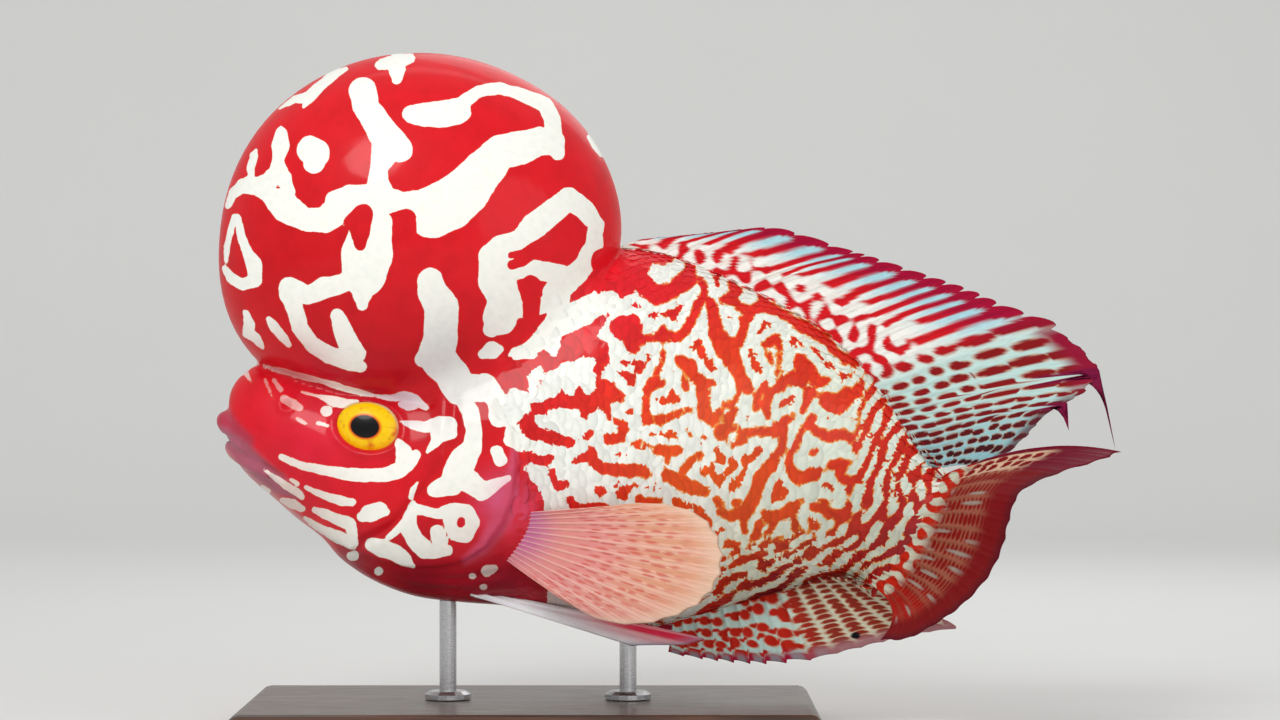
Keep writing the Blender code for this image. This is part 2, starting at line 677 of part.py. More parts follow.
def main():
    clear_scene()
    fish = collection("flowerhorn_cichlid")
    helpers = collection("helpers")
    whole = whole_body(helpers)
    tree = surface_of(whole)
    cutter = grown(whole, GAP, helpers, "body_cutter")
    flesh_parts(whole, fish, helpers)
    for word, mirror in (("left", False), ("right", True)):
        gill_cover("gill_cover_" + word, tree, cutter, fish, mirror)
        roots = []
        for x, y in PECTORAL_ROOT:
            point, normal = on_left_side(tree, x, y)
            roots.append(point - normal * MM)
        fin("pectoral_fin_" + word, paired_fin_line(roots, PECTORAL, 0.003), PECTORAL_RAYS, 5, fish,
            "pink_fin", tree, mirror, web=0.03)
        roots = [place(*point) for point in PELVIC_ROOT]
        roots = [root + Vector((0, 0, MM)) for root in roots]
        fin("pelvic_fin_" + word, paired_fin_line(roots, PELVIC, 0.0), PELVIC_RAYS, 5, fish,
            "fin", tree, mirror, web=0.05)
    fin("dorsal_fin", median_fin_line(DORSAL, 0.0, MM, 0.0012), DORSAL_RAYS, 5, fish, "fin", tree,
        reach=dorsal_reach, web=0.03)
    fin("anal_fin", median_fin_line(ANAL, math.pi, MM, -0.0008), ANAL_RAYS, 4, fish, "fin", tree,
        reach=lambda ray: ANAL_SPINE_REACH if ray < ANAL_SPINES else 0.0, web=0.04)
    fin("tail_fin", tail_line, TAIL_RAYS, 7, fish, "red_skin", tree, web=0.02, swell=0.0016)
    stand(cutter, fish)
    remove(whole, cutter)


main()
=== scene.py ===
"""Looks of a life-size still model of a flowerhorn cichlid on a plain display stand. Metres, +Z up,
head towards -X, the fish's left side towards -Y. Run as a script; laid out as an add-on."""

import math

import bmesh
import bpy
import numpy as np
from mathutils import Matrix, Vector
from mathutils.bvhtree import BVHTree
from mathutils.kdtree import KDTree


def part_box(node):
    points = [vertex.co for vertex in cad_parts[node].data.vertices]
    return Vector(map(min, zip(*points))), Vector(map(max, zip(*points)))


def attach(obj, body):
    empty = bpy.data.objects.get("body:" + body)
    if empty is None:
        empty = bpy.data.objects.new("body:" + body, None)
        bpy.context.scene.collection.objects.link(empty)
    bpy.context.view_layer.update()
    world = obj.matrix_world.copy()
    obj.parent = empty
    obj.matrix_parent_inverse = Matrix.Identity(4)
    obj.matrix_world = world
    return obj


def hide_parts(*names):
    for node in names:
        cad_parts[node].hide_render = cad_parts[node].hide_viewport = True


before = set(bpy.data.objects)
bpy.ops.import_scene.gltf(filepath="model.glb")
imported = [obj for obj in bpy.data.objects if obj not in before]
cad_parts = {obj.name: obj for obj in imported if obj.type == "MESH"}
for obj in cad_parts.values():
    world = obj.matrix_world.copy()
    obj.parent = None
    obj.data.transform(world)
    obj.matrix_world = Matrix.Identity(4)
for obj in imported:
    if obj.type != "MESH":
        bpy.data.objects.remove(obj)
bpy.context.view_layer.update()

bl_info = {
    "name": "Flowerhorn cichlid on a stand",
    "version": (1, 0, 0),
    "blender": (4, 5, 0),
    "location": "View3D > Sidebar > Fish",
    "description": "Builds the skin, scales, fins, eyes and stand of a still model fish",
    "category": "Object",
}

MM = 0.001

# Driving sizes, as in the solids
TOTAL_LENGTH = 0.254
HUMP_HALF_WIDTH = 0.038
EYE_FACING = Vector((-0.12, -1.0, 0.06))
VIEW_DISTANCE = 1.03        # the side view is drawn as seen from this far

# The side view is drawn in its own units: x to the tail, y downwards
SNOUT_X, TAIL_TIP_X = 216.0, 1122.0
UNIT = TOTAL_LENGTH / (TAIL_TIP_X - SNOUT_X)
STAND_X, FLOOR_Y = 530.0, 728.0
VIEW_X, VIEW_Y = 640.0, 360.0
VIEW_WIDTH = 1280.0

# Ribs of the body from the snout to the root of the tail fin:
# top x, y; bottom x, y; half width and sideways bend in millimetres
RIBS = (
    (229, 404, 232, 444, 4.0, 0),
    (232, 389, 238, 462, 9.5, 0),
    (243, 374, 252, 479, 13.5, 0),
    (262, 363, 272, 496, 17.0, 0),
    (290, 362, 297, 518, 20.0, 0),
    (322, 364, 323, 538, 22.5, 0),
    (345, 366, 343, 560, 24.0, 0),
    (375, 364, 375, 581, 25.5, 0),
    (415, 352, 415, 596, 27.0, 0),
    (460, 330, 460, 602, 28.5, 0),
    (510, 300, 508, 606, 29.0, 0),
    (560, 272, 556, 615, 28.8, 0),
    (615, 250, 605, 623, 28.0, 0),
    (660, 254, 650, 625, 26.5, 0),
    (712, 272, 695, 614, 24.0, 0),
    (762, 295, 738, 602, 21.0, 0),
    (810, 321, 780, 590, 17.5, -0.5),
    (850, 352, 815, 580, 14.0, -1.8),
    (882, 390, 840, 575, 11.0, -4.2),
    (908, 428, 858, 577, 8.8, -7.4),
    (930, 460, 868, 583, 6.2, -11.0),
    (946, 482, 875, 591, 3.4, -15.0),
)
TAIL_RIB = 21.0
SECTION_POWER = 1.12        # above 1 the back and belly are narrower than an ellipse

# The hump: its middle in the side view and its reach every 30 degrees from the tail side
HUMP_X, HUMP_Y = 421.0, 226.0
HUMP_REACH = (201, 191, 177, 173, 178, 189, 200, 213, 204, 193, 190, 195)
EASE_FROM, EASE_TO, EASE_REACH, EASE_ROUNDS = (440, 392), (556, 305), 62.0, 60

EYE_X, EYE_Y, EYE_TILT = 368.0, 427.0, math.radians(-10)
NOSTRIL_X, NOSTRIL_Y = 287.0, 404.0

# Lips from the middle of the mouth to its corner: x, y, half width in millimetres, thickness
UPPER_LIP = ((227, 421, 0.0, 1.0), (231, 427, 5.0, 1.0), (245, 443, 10.3, 0.85), (268, 462, 14.6, 0.55))
LOWER_LIP = ((235, 447, 0.0, 0.95), (239, 452, 5.0, 0.95), (252, 463, 10.0, 0.8), (271, 475, 13.6, 0.5))
MOUTH_LINE = ((222, 436), (233, 439), (250, 454), (268, 468), (284, 479))

# Creases and edges of the head in the side view
GILL_EDGE = ((498, 404), (512, 432), (516, 466), (512, 498), (502, 524), (486, 546), (464, 560), (438, 566),
             (408, 566), (378, 559), (350, 548), (324, 533))
CHEEK_EDGE = ((454, 402), (452, 430), (444, 458), (428, 484), (410, 506), (392, 526), (366, 540))
THROAT_FOLDS = (((345, 560), (400, 577), (460, 580), (500, 574)), ((372, 574), (420, 589), (470, 592)))
HUMP_CREASE = ((252, 364), (275, 372), (300, 380), (330, 388), (360, 394), (395, 399), (430, 403))

# Relief of the head: height or depth in millimetres, then how wide it is in the side view
MOUTH_GROOVE, GILL_GROOVE, CHEEK_GROOVE = (0.7, 2.6), (0.7, 5.0), (0.6, 5.0)
THROAT_GROOVE, HUMP_GROOVE, CHEEK_SWELL = (0.5, 4.0), (0.8, 5.0), (0.4, 8.0)
NOSTRIL_RIM, NOSTRIL_PIT = (0.45, 3.0), (1.6, 3.4)
GILL_LIFT, GILL_LIFT_REACH, GILL_TOP = 1.3, 26.0, (395.0, 425.0)
GILL_GROOVE_OUT, CHEEK_SWELL_OUT, NOSTRIL_RADIUS = 4.0, 9.0, 7.0
EYE_RIM, EYE_PIT = 0.55, 3.2

# Fins. A row is one ray: its root on a rib, and its tip as x, y and millimetres to the side
DORSAL = (
    (12.15, 646, 240, 0.0), (13.0, 722, 232, 0.0), (13.6, 775, 229, 0.2), (14.5, 843, 250, 0.4),
    (15.0, 872, 259, 0.6), (16.0, 922, 276, 0.8), (16.6, 962, 290, 0.8), (17.2, 998, 306, 0.6),
    (18.0, 1062, 331, 0.0), (18.5, 1098, 364, -1.0), (18.9, 1086, 392, -2.5), (19.4, 1052, 412, -4.5),
    (19.9, 1024, 440, -7.0), (20.4, 990, 468, -10.0),
)
ANAL = (
    (13.5, 668, 653, 0.0), (13.9, 697, 658, 0.0), (14.4, 722, 661, 0.0), (14.9, 748, 663, 0.0),
    (15.4, 775, 663, 0.3), (16.0, 812, 659, 0.8), (16.7, 852, 650, 1.6), (17.4, 888, 641, 2.6),
    (18.2, 925, 633, 3.6), (18.9, 958, 627, 4.4), (19.5, 915, 612, 1.5),
)
DORSAL_RAYS, DORSAL_SPINES = 29, 17
DORSAL_THREADS = {20: 0.36, 23: 0.12}       # ray and length past the edge, as a share of the ray
THREAD_HANG = Vector((16, -4, -76))         # how the longer thread hangs, in units of the side view
ANAL_RAYS, ANAL_SPINES = 17, 8
TAIL_RAYS, PECTORAL_RAYS, PELVIC_RAYS = 16, 14, 6
TAIL = (
    (1122, 452, -24), (1100, 461, -31), (1058, 474, -40), (1022, 492, -49), (1010, 520, -56),
    (1003, 548, -60), (988, 578, -62), (963, 605, -62), (936, 624, -61), (907, 639, -59), (880, 640, -56),
)
PECTORAL_ROOT = ((524, 514), (504, 562))
PECTORAL = (
    (640, 503, -38), (672, 505, -41), (699, 514, -44), (715, 530, -46), (723, 550, -48), (722, 572, -49),
    (712, 592, -49), (694, 608, -48), (668, 619, -46), (636, 625, -43), (600, 620, -39), (566, 602, -34),
)
PELVIC_ROOT = ((470, 602, -10.0), (494, 601, -6.5))
PELVIC = (
    (632, 646, -17), (684, 645, -19), (704, 639, -18.5),
    (672, 631, -17), (632, 624, -15), (590, 616, -13),
)

# Pale marks of the hump and head in the side view, each a winding stroke of x, y and half width
PALE_STROKES = (
    ((279, 109, 1), (295, 99, 4), (308, 98, 6), (320, 86, 5), (335, 74, 5), (346, 69, 2)),
    ((308, 98, 6), (304, 107, 2)),
    ((380, 65, 5), (395, 62, 8), (410, 58, 5)),
    ((397, 70, 9), (397, 80, 5)),
    ((363, 91, 14), (366, 106, 13), (377, 124, 14), (388, 140, 16), (400, 149, 13)),
    ((386, 150, 15), (379, 168, 9), (378, 182, 10), (384, 200, 14)),
    ((378, 194, 10), (350, 196, 11), (333, 200, 8)),
    ((250, 184, 8), (272, 190, 14), (285, 207, 15), (305, 220, 11), (325, 220, 13), (345, 205, 17)),
    ((367, 255, 26), (364, 275, 22), (362, 295, 10), (362, 305, 6)),
    ((345, 205, 17), (372, 225, 20), (367, 255, 26)),
    ((345, 283, 9), (325, 288, 11), (308, 296, 9), (290, 288, 11)),
    ((290, 295, 11), (296, 312, 8), (300, 328, 8), (312, 344, 8), (330, 355, 9), (350, 362, 9),
     (361, 366, 6)),
    ((337, 316, 7), (342, 328, 9), (348, 342, 11), (356, 355, 10)),
    ((269, 319, 3), (275, 328, 5), (284, 338, 5), (289, 345, 3)),
    ((246, 313, 3), (250, 325, 6), (248, 333, 6), (256, 338, 5), (263, 348, 2)),
    ((237, 218, 4), (241, 235, 4), (247, 252, 5), (254, 264, 8), (255, 280, 7), (243, 285, 6), (231, 278, 5),
     (225, 268, 3)),
    ((226, 262, 2), (227, 246, 3), (231, 230, 3), (235, 218, 4)),
    ((228, 206, 3), (233, 194, 5), (242, 186, 7), (255, 186, 9), (268, 185, 11), (278, 180, 14),
     (284, 192, 11), (290, 202, 5)),
    ((252, 180, 3), (251, 168, 4), (254, 155, 4), (256, 150, 2)),
    ((279, 175, 11), (278, 160, 6), (281, 145, 9), (281, 133, 6), (281, 128, 2)),
    ((311, 150, 14), (316, 153, 14), (314, 163, 11)),
    ((384, 200, 14), (403, 201, 9), (415, 201, 11), (432, 212, 26), (450, 204, 26), (465, 192, 24),
     (484, 170, 20), (500, 152, 17), (520, 148, 17), (540, 141, 14), (552, 142, 13), (558, 153, 7)),
    ((552, 142, 13), (553, 132, 9), (552, 118, 8), (545, 105, 8), (532, 99, 7), (515, 92, 6), (498, 88, 6),
     (480, 91, 6), (465, 101, 7), (458, 111, 13), (445, 114, 14), (425, 115, 12), (411, 114, 9)),
    ((430, 281, 13), (433, 293, 15), (442, 308, 17), (441, 325, 17), (440, 342, 17), (436, 357, 18)),
    ((436, 357, 14), (424, 359, 9)),
    ((436, 357, 18), (450, 372, 17), (460, 388, 17), (475, 388, 14), (488, 390, 12)),
    ((500, 245, 10), (493, 258, 15), (496, 280, 18), (505, 300, 16), (500, 318, 17), (492, 328, 9)),
    ((500, 245, 10), (520, 240, 9), (535, 225, 13), (555, 210, 12), (568, 198, 11), (585, 210, 10),
     (596, 225, 8), (594, 245, 9), (585, 265, 10), (570, 280, 12), (555, 292, 12)),
    ((496, 270, 12), (530, 268, 9), (548, 272, 10), (570, 280, 12)),
    ((505, 306, 14), (530, 312, 6), (560, 298, 10)),
    ((589, 137, 2), (596, 146, 5), (601, 155, 2)),
    ((483, 354, 5), (492, 350, 9), (498, 350, 6)),
    ((515, 357, 3), (530, 350, 7), (545, 335, 10), (560, 322, 15), (578, 315, 14), (600, 302, 12),
     (620, 300, 12), (640, 300, 12), (655, 315, 10)),
    ((545, 335, 10), (553, 350, 6)),
    # the head
    ((264, 366, 2), (280, 371, 3), (300, 376, 3), (325, 382, 3), (350, 390, 3), (375, 396, 2), (392, 398, 3),
     (403, 396, 5), (415, 400, 5), (426, 408, 3)),
    ((302, 392, 1), (318, 396, 2), (333, 401, 5), (345, 403, 5), (357, 402, 2)),
    ((246, 373, 2), (251, 382, 2), (257, 393, 1)),
    ((265, 380, 2), (270, 394, 2), (278, 408, 1)),
    ((274, 380, 2), (281, 390, 2)),
    ((291, 480, 2), (297, 484, 3)),
    ((401, 404, 3), (408, 407, 4), (414, 407, 3)),
    ((284, 399, 4), (293, 404, 5), (300, 408, 3)),
    ((325, 411, 5), (327, 411, 5)),
    ((297, 419, 2), (306, 424, 2)),
    ((318, 423, 2), (328, 426, 2)),
    ((400, 421, 1), (412, 425, 4), (425, 427, 5), (440, 424, 8), (450, 424, 7), (452, 434, 5), (440, 434, 9),
     (436, 442, 5), (427, 452, 1)),
    ((282, 457, 3), (292, 462, 4), (305, 467, 4), (325, 470, 5), (345, 474, 6), (365, 475, 7), (385, 475, 7),
     (400, 470, 8), (410, 460, 8), (416, 455, 5)),
    ((404, 462, 8), (404, 452, 8), (400, 444, 5), (397, 440, 2)),
    ((462, 398, 8), (470, 412, 9), (474, 430, 8), (472, 448, 10), (463, 460, 14), (458, 472, 15),
     (452, 484, 12), (435, 490, 8)),
    ((470, 482, 12), (482, 492, 9), (497, 484, 6), (508, 478, 3)),
    ((485, 385, 12), (497, 400, 10), (500, 415, 11), (515, 415, 9), (526, 408, 6)),
    ((497, 452, 7), (500, 460, 7)),
    ((540, 420, 6), (555, 425, 8)),
    ((515, 432, 8), (530, 442, 8), (545, 450, 7)),
    ((306, 487, 2), (315, 492, 3), (328, 497, 4), (342, 501, 5), (352, 502, 4)),
    ((362, 517, 5), (370, 513, 9), (380, 510, 8), (386, 512, 4)),
    ((265, 470, 2), (275, 478, 3), (285, 485, 4), (297, 492, 4), (302, 497, 3)),
    ((283, 500, 3), (292, 504, 5), (302, 509, 3)),
    ((315, 510, 3), (325, 514, 5), (338, 519, 6), (350, 524, 6)),
    ((305, 518, 2), (318, 527, 4), (330, 533, 5), (340, 538, 6), (352, 543, 6)),
    ((350, 524, 6), (353, 534, 5), (352, 543, 6)),
    ((352, 556, 5), (354, 556, 5)),
    ((378, 571, 4), (379, 571, 4)),
    ((262, 486, 1), (268, 491, 3)),
    ((418, 482, 1), (413, 490, 3), (411, 497, 3)),
    ((413, 503, 3), (410, 515, 6), (408, 527, 9), (415, 540, 9), (425, 550, 9), (437, 553, 6),
     (448, 550, 5)),
    ((437, 532, 7), (440, 542, 8), (437, 553, 6)),
    ((412, 508, 5), (438, 514, 5), (452, 511, 8), (466, 512, 8), (472, 523, 8), (465, 535, 8), (455, 532, 8),
     (450, 520, 7)),
    ((372, 545, 7), (382, 548, 9), (395, 553, 9), (405, 560, 7), (413, 566, 2)),
    ((408, 520, 5), (398, 530, 4), (388, 538, 3)),
    ((487, 571, 6), (494, 569, 4)),
    ((483, 587, 3), (484, 587, 3)),
    ((472, 576, 3), (473, 576, 3)),
)
# Red holes in those marks
RED_STROKES = (
    ((353, 222, 9), (363, 214, 10), (360, 235, 9), (360, 245, 6)),
    ((277, 187, 2), (278, 187, 2)),
    ((407, 219, 10), (408, 230, 9)),
    ((512, 265, 5), (522, 261, 6), (531, 258, 3)),
    ((545, 255, 4), (558, 248, 12), (568, 242, 15)),
    ((531, 285, 10), (532, 300, 9), (531, 318, 8)),
    ((461, 521, 4), (461, 523, 4)),
)
# Pale marks behind the gill cover, with the edges of single scales
SHOULDER_STROKES = (
    ((508, 356, 1), (515, 352, 5), (530, 350, 9), (538, 342, 8), (545, 335, 8)),
    ((552, 335, 7), (553, 345, 8), (553, 352, 5)),
    ((541, 368, 3), (535, 376, 7), (533, 385, 4)),
    ((545, 390, 5), (555, 378, 9), (570, 372, 10), (585, 365, 7), (592, 361, 3)),
    ((560, 392, 8), (556, 397, 4)),
    ((575, 388, 9), (576, 394, 3)),
    ((590, 380, 8), (594, 391, 5)),
    ((530, 398, 5), (540, 396, 7), (546, 392, 5)),
    ((515, 395, 7), (522, 398, 8), (512, 408, 10), (500, 415, 12)),
    ((512, 408, 10), (525, 408, 6)),
    ((537, 418, 3), (545, 420, 6), (560, 423, 7), (575, 415, 5), (580, 413, 4)),
    ((560, 428, 6), (575, 430, 7), (590, 425, 8), (605, 428, 9), (615, 428, 6)),
    ((592, 412, 5), (600, 408, 5), (604, 406, 3)),
    ((512, 428, 6), (510, 440, 7), (520, 445, 7), (535, 444, 7), (548, 450, 5)),
    ((530, 468, 5), (540, 470, 8), (535, 475, 5), (545, 482, 7), (548, 492, 8), (555, 495, 10),
     (550, 508, 6)),
    ((560, 455, 6), (570, 450, 7), (580, 444, 5)),
    ((570, 450, 7), (565, 470, 9), (560, 478, 6)),
)
# Red lines between the pale marks of the flank
FLANK_STROKES = (
    ((606, 262, 14), (622, 268, 18), (640, 262, 14), (668, 257, 6)),
    ((600, 285, 8), (612, 282, 7), (625, 285, 10), (632, 284, 6)),
    ((622, 292, 4), (622, 296, 2)),
    ((640, 280, 10), (655, 296, 9), (672, 290, 8), (688, 280, 9), (690, 268, 5)),
    ((560, 360, 4), (575, 348, 9), (590, 345, 11), (602, 350, 8), (603, 362, 6), (597, 372, 3)),
    ((622, 328, 11), (632, 326, 10), (633, 345, 8)),
    ((642, 340, 4), (655, 338, 4), (665, 336, 6), (680, 338, 4), (688, 328, 5), (695, 312, 4), (701, 300, 4),
     (705, 290, 3), (700, 280, 3)),
    ((663, 330, 4), (663, 327, 2)),
    ((708, 300, 4), (712, 308, 5), (714, 318, 5), (716, 332, 8), (727, 350, 11), (733, 362, 8),
     (738, 374, 6), (748, 388, 6)),
    ((728, 348, 8), (738, 342, 5), (742, 333, 4), (746, 320, 5), (752, 312, 4), (757, 308, 5), (765, 306, 5),
     (780, 314, 4), (790, 318, 3), (797, 324, 5), (808, 330, 6), (820, 336, 5), (828, 343, 4), (835, 352, 4),
     (845, 360, 4), (860, 362, 4)),
    ((722, 300, 3), (730, 298, 5), (737, 292, 5), (732, 284, 4), (733, 272, 4), (738, 268, 3)),
    ((733, 302, 4), (748, 310, 4)),
    ((742, 287, 2), (760, 282, 3), (775, 278, 2), (790, 274, 3), (800, 270, 3)),
    ((763, 283, 3), (763, 298, 4), (764, 306, 5)),
    ((785, 283, 4), (787, 298, 4), (795, 306, 3), (803, 306, 4), (811, 300, 4), (812, 290, 4),
     (808, 284, 3)),
    ((705, 262, 3), (700, 256, 4), (688, 262, 3)),
    ((750, 252, 4), (756, 258, 4), (757, 268, 3), (770, 272, 3)),
    ((820, 311, 2), (828, 310, 3), (834, 315, 5), (836, 325, 5), (837, 333, 4)),
    ((851, 338, 3), (853, 350, 3), (853, 358, 3)),
    ((800, 362, 8), (806, 370, 9), (800, 380, 7), (788, 378, 5), (780, 386, 5), (770, 394, 4), (765, 404, 4),
     (768, 416, 3)),
    ((812, 374, 6), (818, 382, 5), (827, 380, 3)),
    ((763, 345, 3), (770, 342, 5), (777, 338, 4), (780, 350, 2), (780, 362, 2), (777, 374, 2)),
    ((768, 355, 3), (772, 364, 2)),
    ((766, 384, 3), (758, 395, 3), (756, 408, 3)),
    ((815, 394, 3), (808, 392, 4), (806, 404, 3), (803, 412, 2)),
    ((826, 400, 8), (838, 404, 9), (850, 394, 7), (862, 390, 6), (872, 382, 5), (884, 388, 5)),
    ((812, 418, 4), (808, 425, 4), (818, 432, 5), (830, 436, 6), (845, 434, 5), (852, 440, 4)),
    ((648, 390, 5), (655, 382, 6), (660, 384, 4)),
    ((645, 398, 3), (646, 410, 3), (645, 420, 4), (655, 420, 5), (668, 418, 4), (680, 413, 3),
     (690, 410, 2)),
    ((680, 360, 5), (688, 366, 7), (694, 374, 5), (702, 384, 6), (704, 400, 5), (704, 414, 6), (711, 422, 5),
     (720, 412, 3)),
    ((706, 384, 4), (718, 383, 2)),
    ((725, 405, 3), (735, 402, 2), (740, 392, 2), (738, 380, 3)),
    ((663, 352, 2), (662, 362, 2), (657, 372, 3)),
    ((683, 378, 2), (686, 388, 3)),
    ((722, 432, 8), (735, 434, 9), (742, 440, 5), (732, 446, 3)),
    ((728, 420, 5), (735, 410, 3)),
    ((745, 432, 3), (760, 432, 5), (775, 432, 5), (784, 422, 5), (792, 416, 4)),
    ((784, 432, 4), (783, 446, 3), (775, 458, 5), (770, 466, 6), (762, 475, 6), (757, 485, 6), (755, 497, 6),
     (750, 505, 7), (745, 512, 7), (730, 515, 5), (720, 512, 4)),
    ((716, 500, 4), (722, 505, 3)),
    ((735, 503, 3), (737, 502, 3)),
    ((803, 428, 3), (796, 445, 3), (790, 455, 3), (789, 468, 5), (798, 478, 6), (812, 475, 6),
     (820, 470, 4)),
    ((812, 452, 3), (818, 450, 3)),
    ((832, 466, 5), (842, 464, 6), (838, 474, 4)),
    ((845, 480, 5), (855, 480, 5), (870, 478, 6), (882, 474, 5)),
    ((850, 484, 3), (848, 492, 2)),
    ((856, 446, 4), (862, 434, 5), (870, 424, 5), (880, 426, 5), (892, 430, 5)),
    ((875, 448, 5), (882, 440, 3)),
    ((873, 460, 3), (870, 470, 4)),
    ((802, 500, 3), (795, 506, 5), (785, 514, 5), (770, 518, 5), (764, 512, 3)),
    ((812, 506, 3), (822, 508, 5), (832, 514, 6), (845, 518, 7), (858, 522, 6), (872, 525, 6),
     (888, 528, 7)),
    ((822, 501, 3), (831, 502, 2)),
    ((878, 508, 5), (878, 498, 4), (886, 490, 2)),
    ((846, 512, 4), (850, 504, 2)),
    ((743, 520, 3), (744, 530, 3)),
    ((754, 538, 3), (760, 524, 3)),
    ((768, 534, 3), (776, 521, 3)),
    ((794, 520, 3), (796, 530, 4), (794, 537, 3)),
    ((778, 545, 4), (771, 551, 3), (764, 545, 3)),
    ((728, 543, 4), (738, 548, 4), (736, 562, 4)),
    ((750, 545, 3), (752, 552, 3)),
    ((530, 458, 3), (540, 460, 4), (552, 458, 3)),
    ((548, 404, 4), (560, 402, 6), (575, 402, 6), (590, 404, 7), (600, 398, 8), (615, 394, 6),
     (622, 398, 4)),
    ((561, 398, 4), (562, 390, 2)),
    ((580, 396, 5), (579, 387, 2)),
    ((600, 392, 4), (598, 378, 1)),
    ((586, 410, 4), (583, 418, 2)),
    ((606, 406, 3), (608, 418, 2), (617, 421, 3), (626, 428, 4), (620, 438, 5), (608, 440, 5)),
    ((525, 422, 5), (530, 432, 6), (545, 436, 6), (560, 440, 6), (570, 443, 4), (578, 441, 2)),
    ((586, 437, 3), (591, 432, 3)),
    ((573, 461, 2), (585, 458, 4), (592, 452, 4), (596, 464, 5), (603, 468, 5), (620, 470, 6), (640, 470, 6),
     (648, 474, 4)),
    ((552, 470, 2), (554, 480, 3), (558, 487, 3), (566, 484, 4)),
    ((597, 490, 3), (602, 491, 4)),
    ((570, 500, 4), (575, 510, 5), (590, 508, 5), (605, 508, 4), (620, 512, 3)),
    ((633, 444, 3), (645, 446, 4)),
    ((658, 449, 5), (668, 452, 5), (680, 450, 4)),
    ((667, 460, 3), (666, 463, 2)),
    ((640, 500, 4), (650, 503, 5), (660, 500, 3)),
    ((668, 475, 6), (680, 482, 7), (695, 488, 7), (704, 492, 5)),
    ((684, 470, 4), (692, 460, 3), (700, 455, 4)),
    ((686, 430, 2), (691, 436, 2)),
    ((603, 385, 4), (615, 384, 2)),
)
# Small pale marks inside those lines
PALE_SPOTS = (
    ((656, 272, 8), (664, 276, 8)),
    ((731, 438, 3), (735, 434, 3)),
    ((743, 552, 3), (745, 555, 4)),
)
SHOULDER_X, HUMP_RIM = 548.0, 208.0     # the flank is pale behind this place and outside the hump
HELD_TO_X, HELD_TO_Y, HELD_FADE = 850.0, 530.0, 40.0    # the traced marks hold this far and then fade
MIDLINE_FADE = (0.0, 0.006)             # nearer the midline than this, in metres, they fade as well
FLANK_SWELL, FREE_FROM = 0.8, (6.5, 9.0)    # flank lines are this much wider; marks grow freely off them
OPEN_FLANK_X, OPEN_FLANK_OUT = (568.0, 608.0), (4.0, 24.0)      # where they do: x, and outside the hump

# Ranges of the side view over which one kind of mark passes into another
THROAT_HELD = (640.0, 560.0)                # ahead of this the marks stay traced down to the throat
TAIL_STREAKS = (835.0, 880.0)               # behind this the marks are streaks drawn by rule
BELLY_STREAKS, BELLY_STREAKS_BACK, BELLY_SLOPE, BELLY_X = (540.0, 575.0), (640.0, 720.0), 0.25, 700.0
STREAKS_X, STREAKS_Y, STREAK_PITCH = 860.0, 560.0, 13.0
LIPS_X, LIPS_Y, LIPS_BARE = 236.0, 425.0, (34.0, 52.0)
HUMP_WAVES, TAIL_WAVES = (260.0, 170.0), (720.0, 880.0)
ROUGH_CHEEK, CHEEK_PORES = ((385.0, 430.0), (560.0, 520.0), (375.0, 400.0)), 0.9    # from x, to x, from y
FRINGE_X, FRINGE_OUT, FRINGE_FLANK, FRINGE_HEAD = (560.0, 680.0), (0.0, 60.0), 0.6, 0.06
TRACED_SLOPE, STREAK_SLOPE = 4.0, 2.2       # how soon a mark is full inside its edge
MARK_ROUNDS, MARK_SEED, SCALE_SEEDS = 11, 7, {"left": 11, "right": 12}

# Marks grow where a value spread a short way beats the same value spread further. The short spread
# is this share of the marks' spacing, the long one lasts this much longer, and the edge is this sharp
SHORT_SPREAD, LONG_SPREAD, MARK_EDGE, SPREAD_RATE = 1 / 5.7, 1.56, 7.0, 0.2
MARK_BIAS, FLANK_BIAS = 0.12, 0.20          # a bias above zero widens the pale marks; the flank's is less
FLANK_BIAS_X, FLANK_BIAS_OUT = (600.0, 680.0), (0.0, 30.0)      # the flank: x, and outside the hump

# Scales lie behind these places and off the hump, which a slanting line and its back corner bound
SCALES_FROM, SHOULDER_SCALES_FROM, SHOULDER_SCALES_BETWEEN = 520.0, 474.0, (340.0, 420.0)
HUMP_SLANT, HUMP_CORNER = 852.0, (602.0, 247.0)
FIRST_SCALE_RIB, SCALE_ROW, SCALE_COLUMN = 9.9, 12.5, 7.4       # first column, and spacings in the side view
SCALE_SEGMENTS, SCALE_DOME, SCALE_SKIRT, SCALE_PATCH = 18, 0.03, 0.05, 0.003
SCALE_HEIGHT, SCALE_SUNK = 1.6, 0.00008     # how tall a scale's dome stands, and how deep its root lies
SCALE_OVERLAP, GIRTH_SHARE, ROWS_SHARE = 2.3, 0.62, 1.16
OWN_MARK = 0.16                             # how much of a scale's mark is one for the whole scale
# EDGE_SHADE is painted shade: each scale darkens by this share towards its free edge, where it overlaps the
# next
LENGTH_SPREAD, LIFT_SPREAD, TINT_SPREAD, EDGE_SHADE = 0.08, 0.25, 0.05, 0.13

# Rays of the fins: half widths of a ray and of its two branches, which part over a range of the ray
RAY_HALF, BRANCH_HALF, BRANCH_OUT, BRANCH_RANGE = 0.14, 0.10, 0.17, (0.45, 0.7)
SWELL_TO = 0.24                             # a fin's root is thick up to this share of its height

ANAL_SPOT = (856.0, 636.0, 5.0, 3.6)        # the black spot of the anal fin: x, y and half sizes
PELVIC_PINK = (545.0, 640.0)                # the pelvic fins turn pink between these
BASE_TINT_REACH = 500.0                     # a tint that reaches further than this lies everywhere

